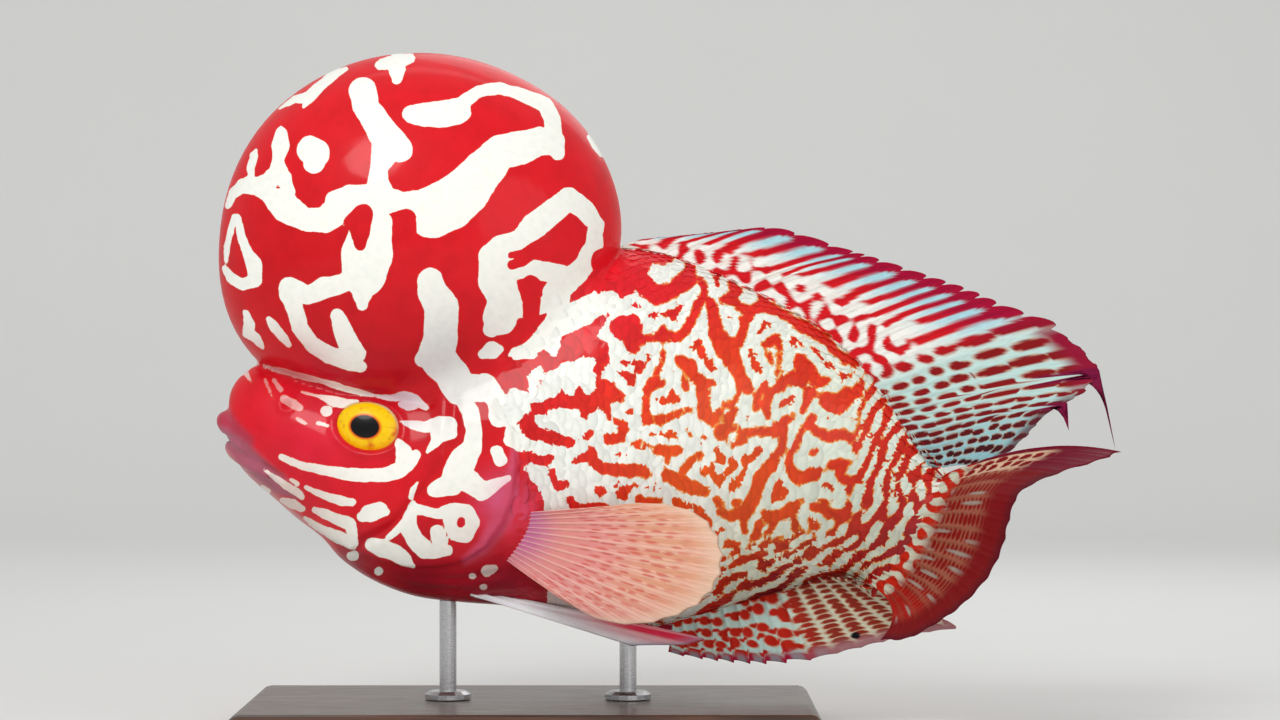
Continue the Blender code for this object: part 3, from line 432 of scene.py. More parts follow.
# Tints of the red ground, laid one over another: middle x, y, reach and colour
GROUND_TINTS = (
    (420, 200, 900, (226, 14, 30)),
    # painted shade: darker red on the lower left of the hump
    (300, 290, 110, (206, 8, 22)),
    # painted shade: darker red under the hump, along its crease with the head
    (440, 390, 80, (194, 6, 22)),
    (350, 385, 50, (186, 10, 32)),
    (310, 440, 60, (222, 26, 52)),
    (640, 440, 90, (240, 46, 30)),
    (640, 300, 60, (238, 26, 42)),
    (740, 380, 70, (244, 62, 30)),
    (720, 480, 90, (244, 92, 22)),
    (800, 520, 80, (234, 82, 18)),
    (830, 420, 70, (234, 58, 24)),
    (900, 480, 60, (206, 36, 20)),
    # painted shade: darker red low on the tail stalk
    (880, 560, 60, (166, 26, 24)),
    (780, 590, 50, (150, 26, 34)),
    (420, 582, 46, (168, 26, 44)),
    (350, 565, 30, (176, 60, 72)),
    (500, 590, 46, (164, 30, 50)),
    (600, 600, 60, (170, 50, 60)),
    (505, 500, 26, (214, 90, 130)),
    # painted shade: darkest red low on the tail stalk, at the tail fin's root
    (940, 560, 50, (130, 24, 34)),
)
PALE_TINTS = (
    (420, 200, 900, (253, 253, 244)),
    # painted shade: greyer white on the lower right of the hump
    (450, 365, 55, (222, 220, 218)),
    (290, 378, 40, (214, 150, 150)),
    (400, 399, 30, (206, 178, 188)),
    (290, 408, 26, (232, 160, 156)),
    (262, 388, 20, (220, 120, 124)),
    (340, 402, 16, (244, 236, 228)),
    (290, 500, 50, (236, 214, 204)),
    (820, 400, 90, (238, 241, 224)),
    (860, 500, 80, (224, 234, 216)),
    (760, 560, 60, (228, 232, 208)),
    # painted shade: grey white low on the tail stalk
    (900, 560, 60, (196, 200, 178)),
    (520, 580, 60, (226, 190, 186)),
    (512, 490, 20, (246, 196, 210)),
)
# Tints laid along lines of the head: x, y and half width, then colour
LINE_TINTS = (
    (((212, 402, 8), (222, 418, 9), (232, 430, 8), (246, 441, 6)), (190, 52, 78)),
    (((222, 438, 10), (238, 454, 13), (256, 470, 12), (276, 484, 9), (296, 494, 4)), (176, 92, 112)),
    (((218, 446, 3), (234, 468, 4), (254, 486, 5), (288, 514, 5), (318, 540, 4)), (214, 140, 140)),
    (((516, 440, 1), (512, 470, 3), (508, 500, 6), (498, 525, 8), (484, 546, 5), (466, 560, 2)),
     (216, 80, 112)),
)


# The stage, in metres: lamps as name, place, target, size and watts, and a floor that bends up behind
LAMPS = (
    ("key", (-0.35, -0.75, 0.75), (0.03, 0.0, 0.1), 0.45, 4.5),
    ("fill", (0.7, -0.8, 0.25), (0.03, 0.0, 0.1), 0.8, 2.0),
    ("rim", (0.2, 0.6, 0.6), (0.03, 0.0, 0.1), 0.6, 1.1),
    ("backdrop", (0.0, 0.8, 2.0), (0.0, 2.6, 0.8), 1.6, 9.0),
)
WORLD_STRENGTH, SENSOR_WIDTH = 0.6, 36.0
FLOOR_WIDTH, FLOOR_DEPTH, FLOOR_FRONT, FLOOR_FLAT = 6.0, 5.0, 2.4, 1.2
FLOOR_BEND, FLOOR_RADIUS = 0.9, 0.57


def linear(red, green, blue):
    """A screen colour from 0 to 255 as the linear colour that a shader takes."""
    return tuple(((c / 255 + 0.055) / 1.055) ** 2.4 for c in (red, green, blue))


def place(x, y, side=0.0):
    """A point of the side view in the model, side millimetres off the middle plane.
    What lies nearer than that plane looks larger in the side view, and is drawn in."""
    near = 1 + side * MM / VIEW_DISTANCE
    x = VIEW_X + (x - VIEW_X) * near
    y = VIEW_Y + (y - VIEW_Y) * near
    return Vector(((x - STAND_X) * UNIT, side * MM, (FLOOR_Y - y) * UNIT))


def side_view(points):
    """Where points lie in the side view, those of the right side being mirrored."""
    near = 1 - np.abs(points[:, 1]) / VIEW_DISTANCE
    x = VIEW_X + (points[:, 0] / UNIT + STAND_X - VIEW_X) / near
    y = VIEW_Y + (FLOOR_Y - points[:, 2] / UNIT - VIEW_Y) / near
    return x, y


def smooth(rows, at, closed=False):
    """A smooth curve through rows of numbers, at a position counted in rows."""
    last = len(rows) - 1
    at = at % (last + 1) if closed else min(max(at, 0.0), float(last))
    low = int(at) if closed else min(int(at), last - 1)
    t = at - low

    def row(i):
        return rows[i % (last + 1)] if closed else rows[min(max(i, 0), last)]

    weights = (
        (-t + 2 * t * t - t ** 3) / 2,
        (2 - 5 * t * t + 3 * t ** 3) / 2,
        (t + 4 * t * t - 3 * t ** 3) / 2,
        (t ** 3 - t * t) / 2,
    )
    near = [row(low + i) for i in (-1, 0, 1, 2)]
    return [sum(w * values[k] for w, values in zip(weights, near)) for k in range(len(near[0]))]


def body_point(rib, turn):
    """A point of the body on a rib; turn goes from the back, down the left side, round."""
    top_x, top_y, low_x, low_y, half_width, bend = smooth(RIBS, rib)
    down = (1 - math.cos(turn)) / 2
    side = math.copysign(abs(math.sin(turn)) ** SECTION_POWER, math.sin(turn))
    middle = place(top_x + (low_x - top_x) * down, top_y + (low_y - top_y) * down, bend)
    return middle + Vector((0, -half_width * side * MM, 0))


def hump_point(around, across):
    """A point of the hump: around turns in the side view, across goes from left to right."""
    reach = smooth([(r,) for r in HUMP_REACH], around / math.radians(30), closed=True)[0]
    middle = place(HUMP_X, HUMP_Y)
    out = reach * UNIT * math.sin(across)
    return middle + Vector((out * math.cos(around), -HUMP_HALF_WIDTH * math.cos(across),
                            out * math.sin(around)))


def ramp(values, low, high):
    """A smooth step from 0 at low to 1 at high."""
    t = np.clip((np.asarray(values, float) - low) / (high - low), 0.0, 1.0)
    return t * t * (3 - 2 * t)


def beside(x, y, start, end):
    """Places seen from a straight line: the share along it of the nearest point, how far that
    point is, and the side on which the place lies."""
    run_x, run_y = end[0] - start[0], end[1] - start[1]
    off_x, off_y = x - start[0], y - start[1]
    along = np.clip((off_x * run_x + off_y * run_y) / (run_x ** 2 + run_y ** 2), 0, 1)
    away = np.hypot(off_x - run_x * along, off_y - run_y * along)
    return along, away, np.sign(run_x * off_y - run_y * off_x)


def stroke_depth(x, y, stroke):
    """How deep places lie inside a stroke of x, y and half width, below zero outside it."""
    depth = np.full(len(x), -np.inf)
    for start, end in zip(stroke, stroke[1:]):
        along, away, _ = beside(x, y, start, end)
        depth = np.maximum(depth, start[2] + (end[2] - start[2]) * along - away)
    return depth


def line_distance(x, y, line):
    """How far places of the side view are from a line, and on which side of it they lie."""
    nearest = np.full(len(x), np.inf)
    side = np.zeros(len(x))
    for start, end in zip(line, line[1:]):
        _, away, turned = beside(x, y, start, end)
        closer = away < nearest
        nearest[closer] = away[closer]
        side[closer] = turned[closer]
    return nearest, side


def points_of(mesh):
    """Places of a mesh's vertices."""
    co = np.empty(len(mesh.vertices) * 3, np.float32)
    mesh.vertices.foreach_get("co", co)
    return co.reshape(-1, 3).astype(float)


def normals_of(mesh):
    """Directions of a mesh's vertices."""
    normals = np.empty(len(mesh.vertices) * 3, np.float32)
    mesh.vertices.foreach_get("normal", normals)
    return normals.reshape(-1, 3).astype(float)


def set_points(mesh, points):
    """Moves a mesh's vertices."""
    mesh.vertices.foreach_set("co", points.astype(np.float32).ravel())
    mesh.update()


def set_number(mesh, name, values):
    """Keeps one number for each vertex."""
    attribute = mesh.attributes.get(name) or mesh.attributes.new(name, "FLOAT", "POINT")
    attribute.data.foreach_set("value", np.asarray(values, np.float32))


def set_colour(mesh, name, values):
    """Keeps one colour for each vertex."""
    attribute = mesh.attributes.get(name) or mesh.attributes.new(name, "FLOAT_COLOR", "POINT")
    full = np.ones((len(values), 4), np.float32)
    full[:, :3] = values
    attribute.data.foreach_set("color", full.ravel())


def tinted(x, y, tints, lines=()):
    """Tints laid one over another at places of the side view, first round ones, then lines."""
    colour = np.zeros((len(x), 3))
    for middle_x, middle_y, reach, tint in tints:
        far = ((x - middle_x) ** 2 + (y - middle_y) ** 2) / reach ** 2
        share = np.exp(-far) if reach < BASE_TINT_REACH else np.ones(len(x))
        colour += share[:, None] * (np.array(linear(*tint)) - colour)
    for line, tint in lines:
        share = ramp(stroke_depth(x, y, line), -6, 3)
        colour += share[:, None] * (np.array(linear(*tint)) - colour)
    return colour


def maze(x, y, pitch):
    """Winding lines in the side view, above zero in half of it."""
    total = np.zeros(len(x))
    for i in range(9):
        turn = math.pi * (i + 0.35 * math.sin(5.1 * i)) / 9
        total += np.sin(2 * math.pi * (x * math.cos(turn) + y * math.sin(turn)) / pitch + 4.7 * i * i)
    return total / 2.2


def clear_helper(helper):
    """Removes an object that only helped to make another."""
    bpy.data.objects.remove(helper, do_unlink=True)


def mesh_object(name, bm):
    """An object in the scene from a bmesh."""
    bmesh.ops.recalc_face_normals(bm, faces=bm.faces)
    mesh = bpy.data.meshes.new(name)
    bm.to_mesh(mesh)
    bm.free()
    made = bpy.data.objects.new(name, mesh)
    bpy.context.scene.collection.objects.link(made)
    mesh.shade_smooth()
    return made


def applied(target, kind, **settings):
    """Puts a modifier on the target for good."""
    modifier = target.modifiers.new(kind.lower(), kind)
    for name, value in settings.items():
        setattr(modifier, name, value)
    bpy.context.view_layer.update()
    graph = bpy.context.evaluated_depsgraph_get()
    made = bpy.data.meshes.new_from_object(target.evaluated_get(graph))
    target.modifiers.clear()
    target.data = made


def joined(name, pieces):
    """One object with the meshes of several."""
    bm = bmesh.new()
    for piece in pieces:
        bm.from_mesh(piece.data)
    for piece in pieces:
        clear_helper(piece)
    mesh = bpy.data.meshes.new(name)
    bm.to_mesh(mesh)
    bm.free()
    made = bpy.data.objects.new(name, mesh)
    bpy.context.scene.collection.objects.link(made)
    return made


def bent_grid(name, columns, rows, shape):
    """A closed surface from a grid: shape(u, v) gives its points, with u and v from 0 to 1.
    Edges that meet are merged, and open ends are filled."""
    bm = bmesh.new()
    bmesh.ops.create_grid(bm, x_segments=columns, y_segments=rows, size=0.5)
    for v in bm.verts:
        v.co = shape(v.co.x + 0.5, v.co.y + 0.5)
    bmesh.ops.remove_doubles(bm, verts=bm.verts, dist=1e-6)
    bmesh.ops.holes_fill(bm, edges=bm.edges, sides=0)
    return mesh_object(name, bm)


def lip(name, points, radius):
    """A lip: a tapered tube from one corner of the mouth round to the other."""
    path = [(x, y, -side, thick) for x, y, side, thick in reversed(points)]
    path += list(points[1:])
    curve = bpy.data.curves.new(name, "CURVE")
    curve.dimensions = "3D"
    curve.bevel_depth = radius
    curve.bevel_resolution = 4
    curve.use_fill_caps = True
    steps = 40
    spline = curve.splines.new("POLY")
    spline.points.add(steps)
    for i in range(steps + 1):
        x, y, side, thick = smooth(path, (len(path) - 1) * i / steps)
        spline.points[i].co = (*place(x, y, side), 1)
        spline.points[i].radius = thick
    tube = bpy.data.objects.new(name, curve)
    bpy.context.scene.collection.objects.link(tube)
    bpy.context.view_layer.update()
    graph = bpy.context.evaluated_depsgraph_get()
    mesh = bpy.data.meshes.new_from_object(tube.evaluated_get(graph))
    bm = bmesh.new()
    bm.from_mesh(mesh)
    bmesh.ops.remove_doubles(bm, verts=bm.verts, dist=1e-6)
    clear_helper(tube)
    return mesh_object(name, bm)


class Neighbours:
    """The edges of a mesh, for spreading values over it."""

    def __init__(self, mesh, weights=None):
        pairs = np.empty(len(mesh.edges) * 2, np.int32)
        mesh.edges.foreach_get("vertices", pairs)
        self.one, self.two = pairs.reshape(-1, 2).T
        self.count = len(mesh.vertices)
        self.weights = np.ones(len(self.one)) if weights is None else weights

    def flow(self, values):
        move = self.weights * (values[self.two] - values[self.one])
        return (np.bincount(self.one, move, self.count) - np.bincount(self.two, move, self.count))

    def spread(self, values, rate, rounds):
        for _ in range(rounds):
            values = values + rate * self.flow(values)
        return values

    def relax(self, points, rounds, share=0.15):
        """Smooths a surface without shrinking it."""
        for _ in range(rounds):
            for step in (share, -share * 1.04):
                points = points + step * np.stack([self.flow(points[:, k]) for k in range(3)], axis=1)
        return points


def ease_flanks(mesh):
    """Smooths the hollow between the hump's flank and the body, most in its middle."""
    points = points_of(mesh)
    start, end = place(*EASE_FROM), place(*EASE_TO)
    run = np.array((end.x - start.x, 0, end.z - start.z))
    off = points - np.array(start)
    off[:, 1] = 0
    share = np.clip(off @ run / (run @ run), 0, 1)
    far = np.linalg.norm(off - share[:, None] * run, axis=1) / (EASE_REACH * UNIT)
    graph = Neighbours(mesh)
    rounds = 4 * EASE_ROUNDS
    for i in range(rounds):
        chosen = (far < 1 - i / rounds) * 0.2
        points = points + chosen[:, None] * np.stack([graph.flow(points[:, k]) for k in range(3)], axis=1)
    set_points(mesh, points)


def surface_of(target):
    """A mesh object's surface, for casting rays on it."""
    bm = bmesh.new()
    bm.from_mesh(target.data)
    tree = BVHTree.FromBMesh(bm)
    bm.free()
    return tree


def on_left_side(tree, x, y):
    """The point and the outward direction of the left side at a place of the side view."""
    viewer = place(VIEW_X, VIEW_Y) - Vector((0, VIEW_DISTANCE, 0))
    point, normal, _, _ = tree.ray_cast(viewer, (place(x, y) - viewer).normalized())
    return point, normal


def swell_at(away, form):
    """Height in metres of a soft swelling, form being its height in millimetres and its width."""
    height, width = form
    return height * MM * np.exp(-(away / width) ** 2)


def head_relief(x, y, flank):
    """How far the head's skin stands out or in, in metres, at places of the side view."""
    away, _ = line_distance(x, y, MOUTH_LINE)
    relief = -swell_at(away, MOUTH_GROOVE)
    away, side = line_distance(x, y, GILL_EDGE)
    inside = np.where(side > 0, away, -away)
    lift = ramp(inside, -2.0, 2.0) * np.exp(-np.maximum(inside, 0) / GILL_LIFT_REACH)
    below = flank * ramp(y, *GILL_TOP)
    relief += below * (GILL_LIFT * MM * lift - swell_at(inside + GILL_GROOVE_OUT, GILL_GROOVE))
    away, side = line_distance(x, y, CHEEK_EDGE)
    relief -= flank * swell_at(away, CHEEK_GROOVE)
    relief += flank * swell_at(away - CHEEK_SWELL_OUT, CHEEK_SWELL) * (side > 0)
    for fold in THROAT_FOLDS:
        relief -= flank * swell_at(line_distance(x, y, fold)[0], THROAT_GROOVE)
    relief -= flank * swell_at(line_distance(x, y, HUMP_CREASE)[0], HUMP_GROOVE)
    hole = np.hypot(x - NOSTRIL_X, y - NOSTRIL_Y)
    return relief + flank * (swell_at(hole - NOSTRIL_RADIUS, NOSTRIL_RIM) - swell_at(hole, NOSTRIL_PIT))


def size_setting(name, description, default):
    """A length that a user may change, in metres."""
    return bpy.props.FloatProperty(name=name, description=description, default=default, subtype="DISTANCE")


def colour_setting(name, description, *shade):
    """A colour that a user may change, from a screen colour."""
    return bpy.props.FloatVectorProperty(name=name, description=description, default=linear(*shade),
                                         subtype="COLOR")


class FishSizes(bpy.types.PropertyGroup):
    """Sizes of the skin, eyes, scales, marks and fins"""
    grain: size_setting("Skin grain", "Size of the skin's mesh", 0.0007)
    lip: size_setting("Lip radius", "Thickness of the lips", 0.0030)
    eye_length: size_setting("Eye length", "Half length of the eye", 0.0096)
    eye_height: size_setting("Eye height", "Half height of the eye", 0.0074)
    eye_depth: size_setting("Eye depth", "Half depth of the eye", 0.0042)
    scale_length: size_setting("Scale length", "Length of a scale of the flank", 0.0046)
    scale_lift: size_setting("Scale lift", "How far a scale's free edge stands up", 0.00019)
    hump_wave: size_setting("Hump marks", "Spacing of the marks on the hump", 0.0165)
    flank_wave: size_setting("Flank marks", "Spacing of the marks on the flank", 0.0052)
    tail_wave: size_setting("Tail stalk marks", "Spacing of the marks near the tail", 0.0047)
    ray: size_setting("Ray thickness", "Thickness of a fin ray at its root", 0.0015)
    membrane: size_setting("Membrane", "Thickness of a fin between its rays", 0.0005)


class FishColours(bpy.types.PropertyGroup):
    """Colours of the eyes, the rims of the marks, the stand and the floor"""
    iris: colour_setting("Iris", "Yellow of the eye", 253, 208, 12)
    iris_patch: colour_setting("Iris patch", "Orange patches of the eye", 226, 84, 14)
    fringe: colour_setting("Fringe", "Rim between the pale marks and the red", 244, 164, 60)
    wood: colour_setting("Wood", "Stain of the stand", 58, 36, 24)
    floor: colour_setting("Floor", "Pale floor", 226, 226, 224)


class Nodes:
    """Short words for building a material's node tree."""

    def __init__(self, name):
        self.material = bpy.data.materials.new(name)
        self.material.use_nodes = True
        self.tree = self.material.node_tree
        self.shader = self.tree.nodes["Principled BSDF"]

    def add(self, kind, inputs=None, **settings):
        node = self.tree.nodes.new(kind)
        for key, value in settings.items():
            setattr(node, key, value)
        for key, value in (inputs or {}).items():
            self.feed(node, key, value)
        return node

    def feed(self, node, key, value):
        if isinstance(value, bpy.types.NodeSocket):
            self.tree.links.new(value, node.inputs[key])
        else:
            node.inputs[key].default_value = value

    def shade(self, **inputs):
        for key, value in inputs.items():
            self.feed(self.shader, key.replace("_", " "), value)

    def attribute(self, name, output="Fac"):
        return self.add("ShaderNodeAttribute", attribute_name=name).outputs[output]

    def where(self, scale=None):
        """The place on the object, or that place drawn out by a scale for each axis."""
        place_on = self.add("ShaderNodeTexCoord").outputs["Object"]
        return self.drawn(place_on, scale) if scale else place_on

    def drawn(self, vector, scale):
        return self.add("ShaderNodeMapping", {"Vector": vector, "Scale": scale}).outputs["Vector"]

    def noise(self, scale, detail=3.0, where=None):
        inputs = {"Vector": where or self.where(), "Scale": scale, "Detail": detail}
        return self.add("ShaderNodeTexNoise", inputs).outputs["Fac"]

    def math(self, operation, one, two=0.0):
        return self.add("ShaderNodeMath", {0: one, 1: two}, operation=operation).outputs[0]

    def scaled_by(self, value, factor):
        return self.math("MULTIPLY", value, factor)

    def step(self, value, low, high, to_low=0.0, to_high=1.0):
        return self.add("ShaderNodeMapRange", {"Value": value, "From Min": low, "From Max": high,
                                               "To Min": to_low, "To Max": to_high},
                        interpolation_type="SMOOTHSTEP").outputs["Result"]

    def mix(self, share, one, two, blend="MIX"):
        node = self.add("ShaderNodeMix", data_type="RGBA", blend_type=blend)
        self.feed(node, 0, share)
        self.feed(node, 6, one)
        self.feed(node, 7, two)
        return node.outputs[2]

    def bump(self, height, strength, distance):
        return self.add("ShaderNodeBump", {"Height": height, "Strength": strength,
                                           "Distance": distance}).outputs["Normal"]


def skin_material(name, fringe, grain):
    """Red and pale skin, wet and glossy; the mark attribute parts the two colours."""
    nodes = Nodes(name)
    fine = nodes.noise(520.0, 4.0)
    rough_edge = nodes.noise(1500.0, 2.0)
    mark = nodes.attribute("mark")
    wobble = nodes.math("ADD", nodes.scaled_by(rough_edge, 0.16), -0.08)
    bends = nodes.math("ADD", nodes.scaled_by(nodes.noise(250.0, 2.0), 0.9), -0.45)
    edge = nodes.math("ADD", mark, nodes.math("ADD", wobble, bends))
    ground = nodes.attribute("ground", "Color")
    pale = nodes.attribute("pale", "Color")
    clouds = nodes.step(nodes.noise(160.0, 3.0), 0.35, 0.7)
    deeper = nodes.mix(nodes.scaled_by(clouds, 0.35), ground,
                       nodes.mix(1.0, ground, (0.72, 0.45, 0.45, 1), "MULTIPLY"))
    speckled = nodes.mix(nodes.scaled_by(nodes.step(fine, 0.4, 0.75), 0.22), pale,
                         nodes.mix(1.0, pale, (0.72, 0.76, 0.74, 1), "MULTIPLY"))
    share = nodes.step(edge, -0.06, 0.06)
    near = nodes.math("MULTIPLY", nodes.step(edge, -0.34, 0.0), nodes.step(edge, 0.22, 0.02))
    near = nodes.math("MULTIPLY", near, nodes.attribute("fringe"))
    colour = nodes.mix(share, deeper, speckled)
    colour = nodes.mix(near, colour, (*fringe, 1))
    nodes.shade(Base_Color=colour, Roughness=0.5, Coat_Weight=0.25, Coat_Roughness=0.1,
                Subsurface_Weight=0.08, Subsurface_Radius=(0.9, 0.3, 0.2), Subsurface_Scale=0.0015,
                Specular_IOR_Level=0.12)
    pores = nodes.add("ShaderNodeTexVoronoi", {"Vector": nodes.where(), "Scale": 330.0}, feature="F1")
    cheek = nodes.math("MULTIPLY", nodes.step(pores.outputs["Distance"], 0.1, 0.7), nodes.attribute("cheek"))
    height = nodes.math("SUBTRACT", nodes.noise(grain, 3.0), cheek)
    nodes.shade(Normal=nodes.bump(height, 0.3, 0.0002))
    return nodes.material


class FISH_OT_skin(bpy.types.Operator):
    """Build the skin of the head, hump, trunk and tail stalk with its marks"""
    bl_idname = "fish.skin"
    bl_label = "Skin"

    def execute(self, context):
        sizes = context.scene.fish_sizes
        body = bent_grid("body", 150, 72, self.body_shape)
        hump = bent_grid("hump", 96, 48, self.hump_shape)
        lips = [lip("upper_lip", UPPER_LIP, sizes.lip), lip("lower_lip", LOWER_LIP, sizes.lip)]
        skin = joined("skin", [body, hump] + lips)
        applied(skin, "REMESH", mode="VOXEL", voxel_size=sizes.grain)
        mesh = skin.data
        ease_flanks(mesh)
        graph = Neighbours(mesh)
        set_points(mesh, graph.relax(points_of(mesh), 8))
        self.model_head(mesh, sizes)
        self.paint(mesh, sizes)
        mesh.shade_smooth()
        mesh.materials.clear()
        mesh.materials.append(skin_material("fish_skin", context.scene.fish_colours.fringe, 900.0))
        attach(skin, "root")
        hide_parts("head", "lower_jaw", "nuchal_hump", "trunk", "tail_stalk",
                    "gill_cover_left", "gill_cover_right")
        return {"FINISHED"}

    def body_shape(self, u, v):
        return body_point(TAIL_RIB * u, 2 * math.pi * v)

    def hump_shape(self, u, v):
        return hump_point(2 * math.pi * u, math.pi * v)

    def model_head(self, mesh, sizes):
        """Moves the skin for the mouth, nostrils, gill covers and the rims of the eyes."""
        points, normals = points_of(mesh), normals_of(mesh)
        x, y = side_view(points)
        flank = ramp(np.abs(normals[:, 1]), 0.15, 0.5)
        points = points + normals * head_relief(x, y, flank)[:, None]
        cos, sin = math.cos(EYE_TILT), math.sin(EYE_TILT)
        along = ((x - EYE_X) * cos + (y - EYE_Y) * -sin) * UNIT / sizes.eye_length
        across = ((x - EYE_X) * sin + (y - EYE_Y) * cos) * UNIT / sizes.eye_height
        ring = np.hypot(along, across)
        rim = swell_at(ring - 1.05, (EYE_RIM, 0.12))
        pit = EYE_PIT * MM * ramp(ring, 0.96, 0.80)
        points[:, 1] -= np.sign(-points[:, 1]) * (rim - pit) * flank
        set_points(mesh, points)

    def paint(self, mesh, sizes):
        """Traced marks on the left of the head and hump, and grown ones everywhere else."""
        points = points_of(mesh)
        x, y = side_view(points)
        outside_hump = np.hypot(x - HUMP_X, y - HUMP_Y) - HUMP_RIM
        traced = self.traced(*self.bent(x, y, points[:, 1] > 0))
        target = np.clip(traced / TRACED_SLOPE, -1, 1)
        hold = ramp(np.abs(points[:, 1]), *MIDLINE_FADE) * ramp(x, HELD_TO_X + HELD_FADE, HELD_TO_X)
        hold = hold * np.maximum(ramp(y, HELD_TO_Y + HELD_FADE, HELD_TO_Y), ramp(x, *THROAT_HELD))
        open_flank = ramp(x, *OPEN_FLANK_X) * ramp(outside_hump, *OPEN_FLANK_OUT)
        hold = hold * (1 - open_flank * ramp(traced, *FREE_FROM))
        belly = ramp(y + BELLY_SLOPE * (x - BELLY_X), *BELLY_STREAKS) * ramp(x, *BELLY_STREAKS_BACK)
        drawn = np.maximum(ramp(x, *TAIL_STREAKS), belly)
        target = target * (1 - drawn) + np.clip(self.streaks(x, y) * STREAK_SLOPE, -1, 1) * drawn
        hold = np.maximum(hold, drawn)
        bare = ramp(np.hypot(x - LIPS_X, y - LIPS_Y), *LIPS_BARE)
        wave = np.full(len(x), sizes.flank_wave)
        to_hump = ramp(np.hypot(x - HUMP_X, y - HUMP_Y), *HUMP_WAVES)
        wave = wave + (sizes.hump_wave - sizes.flank_wave) * to_hump
        wave = wave + (sizes.tail_wave - wave) * ramp(x, *TAIL_WAVES)
        graph = Neighbours(mesh, self.lean(mesh, points, x, y))
        rate = SPREAD_RATE * (wave / sizes.hump_wave) ** 2
        inner = (sizes.hump_wave * SHORT_SPREAD) ** 2 / (2 * SPREAD_RATE * sizes.grain ** 2)
        first, rest = int(inner), int(inner * LONG_SPREAD)
        bias = MARK_BIAS - FLANK_BIAS * ramp(x, *FLANK_BIAS_X) * ramp(outside_hump, *FLANK_BIAS_OUT)
        values = np.random.default_rng(MARK_SEED).normal(0, 1, len(x))
        values = graph.spread(values, SPREAD_RATE, 2) * 2
        for _ in range(MARK_ROUNDS):
            values = hold * target + (1 - hold) * values
            near = graph.spread(values, rate, first)
            far = graph.spread(near, rate, rest)
            values = np.tanh(MARK_EDGE * (near - far) + bias)
        values = hold * target + (1 - hold) * values
        values = values * bare - (1 - bare)
        set_number(mesh, "mark", values)
        fringe = FRINGE_FLANK * ramp(x, *FRINGE_X) * ramp(outside_hump, *FRINGE_OUT) + FRINGE_HEAD
        set_number(mesh, "fringe", fringe)
        from_x, to_x, from_y = ROUGH_CHEEK
        cheek = ramp(x, *from_x) * ramp(y, *from_y) * ramp(x, *to_x)
        set_number(mesh, "cheek", CHEEK_PORES * cheek)
        # the ground and pale colours carry the painted shade that their tint tables hold
        set_colour(mesh, "ground", tinted(x, y, GROUND_TINTS, LINE_TINTS))
        set_colour(mesh, "pale", tinted(x, y, PALE_TINTS))

    def bent(self, x, y, right):
        """The side view with the right side's places moved about, so that its marks aren't a mirror image."""
        x_bent = x + right * (17 * np.sin(y / 34.0 + 0.6) + 8 * np.sin((x + y) / 23.0))
        y_bent = y + right * (15 * np.sin(x / 38.0 + 1.9) + 8 * np.sin((x - y) / 27.0 + 0.4))
        return x_bent, y_bent

    def traced(self, x, y):
        """How deep places lie inside the pale marks that the photo shows, below zero in the red."""
        outside_hump = np.hypot(x - HUMP_X, y - HUMP_Y) - HUMP_RIM
        depth = np.clip(np.minimum(x - SHOULDER_X, outside_hump), -30.0, 30.0)
        for stroke in PALE_STROKES + SHOULDER_STROKES:
            depth = np.maximum(depth, stroke_depth(x, y, stroke))
        for stroke in RED_STROKES:
            depth = np.minimum(depth, -stroke_depth(x, y, stroke))
        for stroke in FLANK_STROKES:
            depth = np.minimum(depth, -stroke_depth(x, y, stroke) - FLANK_SWELL)
        for stroke in PALE_SPOTS:
            depth = np.maximum(depth, stroke_depth(x, y, stroke))
        return depth

    def streaks(self, x, y):
        """Slanting streaks of the lower flank and the tail stalk, above zero where they are pale."""
        turn = np.radians(62) - np.radians(34) * ramp(y, 470, 570)
        across = (x - STREAKS_X) * np.sin(turn) + (y - STREAKS_Y) * np.cos(turn)
        along = (x - STREAKS_X) * np.cos(turn) - (y - STREAKS_Y) * np.sin(turn)
        sway = 0.9 * np.sin(along / STREAK_PITCH + across / 21.0)
        sway = sway + 0.6 * np.sin(along / 7.3 - across / 9.0 + 1.3)
        lines = np.sin(2 * math.pi * across / STREAK_PITCH + sway)
        return lines + 0.5 * maze(x, y, 24.0) - 0.16

    def lean(self, mesh, points, x, y):
        """Weights of the mesh's edges, which draw the marks out along the flank's own lines."""
        pairs = np.empty(len(mesh.edges) * 2, np.int32)
        mesh.edges.foreach_get("vertices", pairs)
        one, two = pairs.reshape(-1, 2).T
        run = points[two] - points[one]
        run /= np.maximum(np.linalg.norm(run, axis=1), 1e-9)[:, None]
        turn = np.radians(60) * ramp(x, 620, 780) - np.radians(30) * ramp(y, 480, 560) * ramp(x, 880, 800)
        turn = (turn[one] + turn[two]) / 2
        strength = 0.6 * ramp(x, 560, 640)
        strength = (strength[one] + strength[two]) / 2
        match = run[:, 0] * np.cos(turn) + run[:, 2] * np.sin(turn)
        return 1 + strength * (2 * match ** 2 - 1)


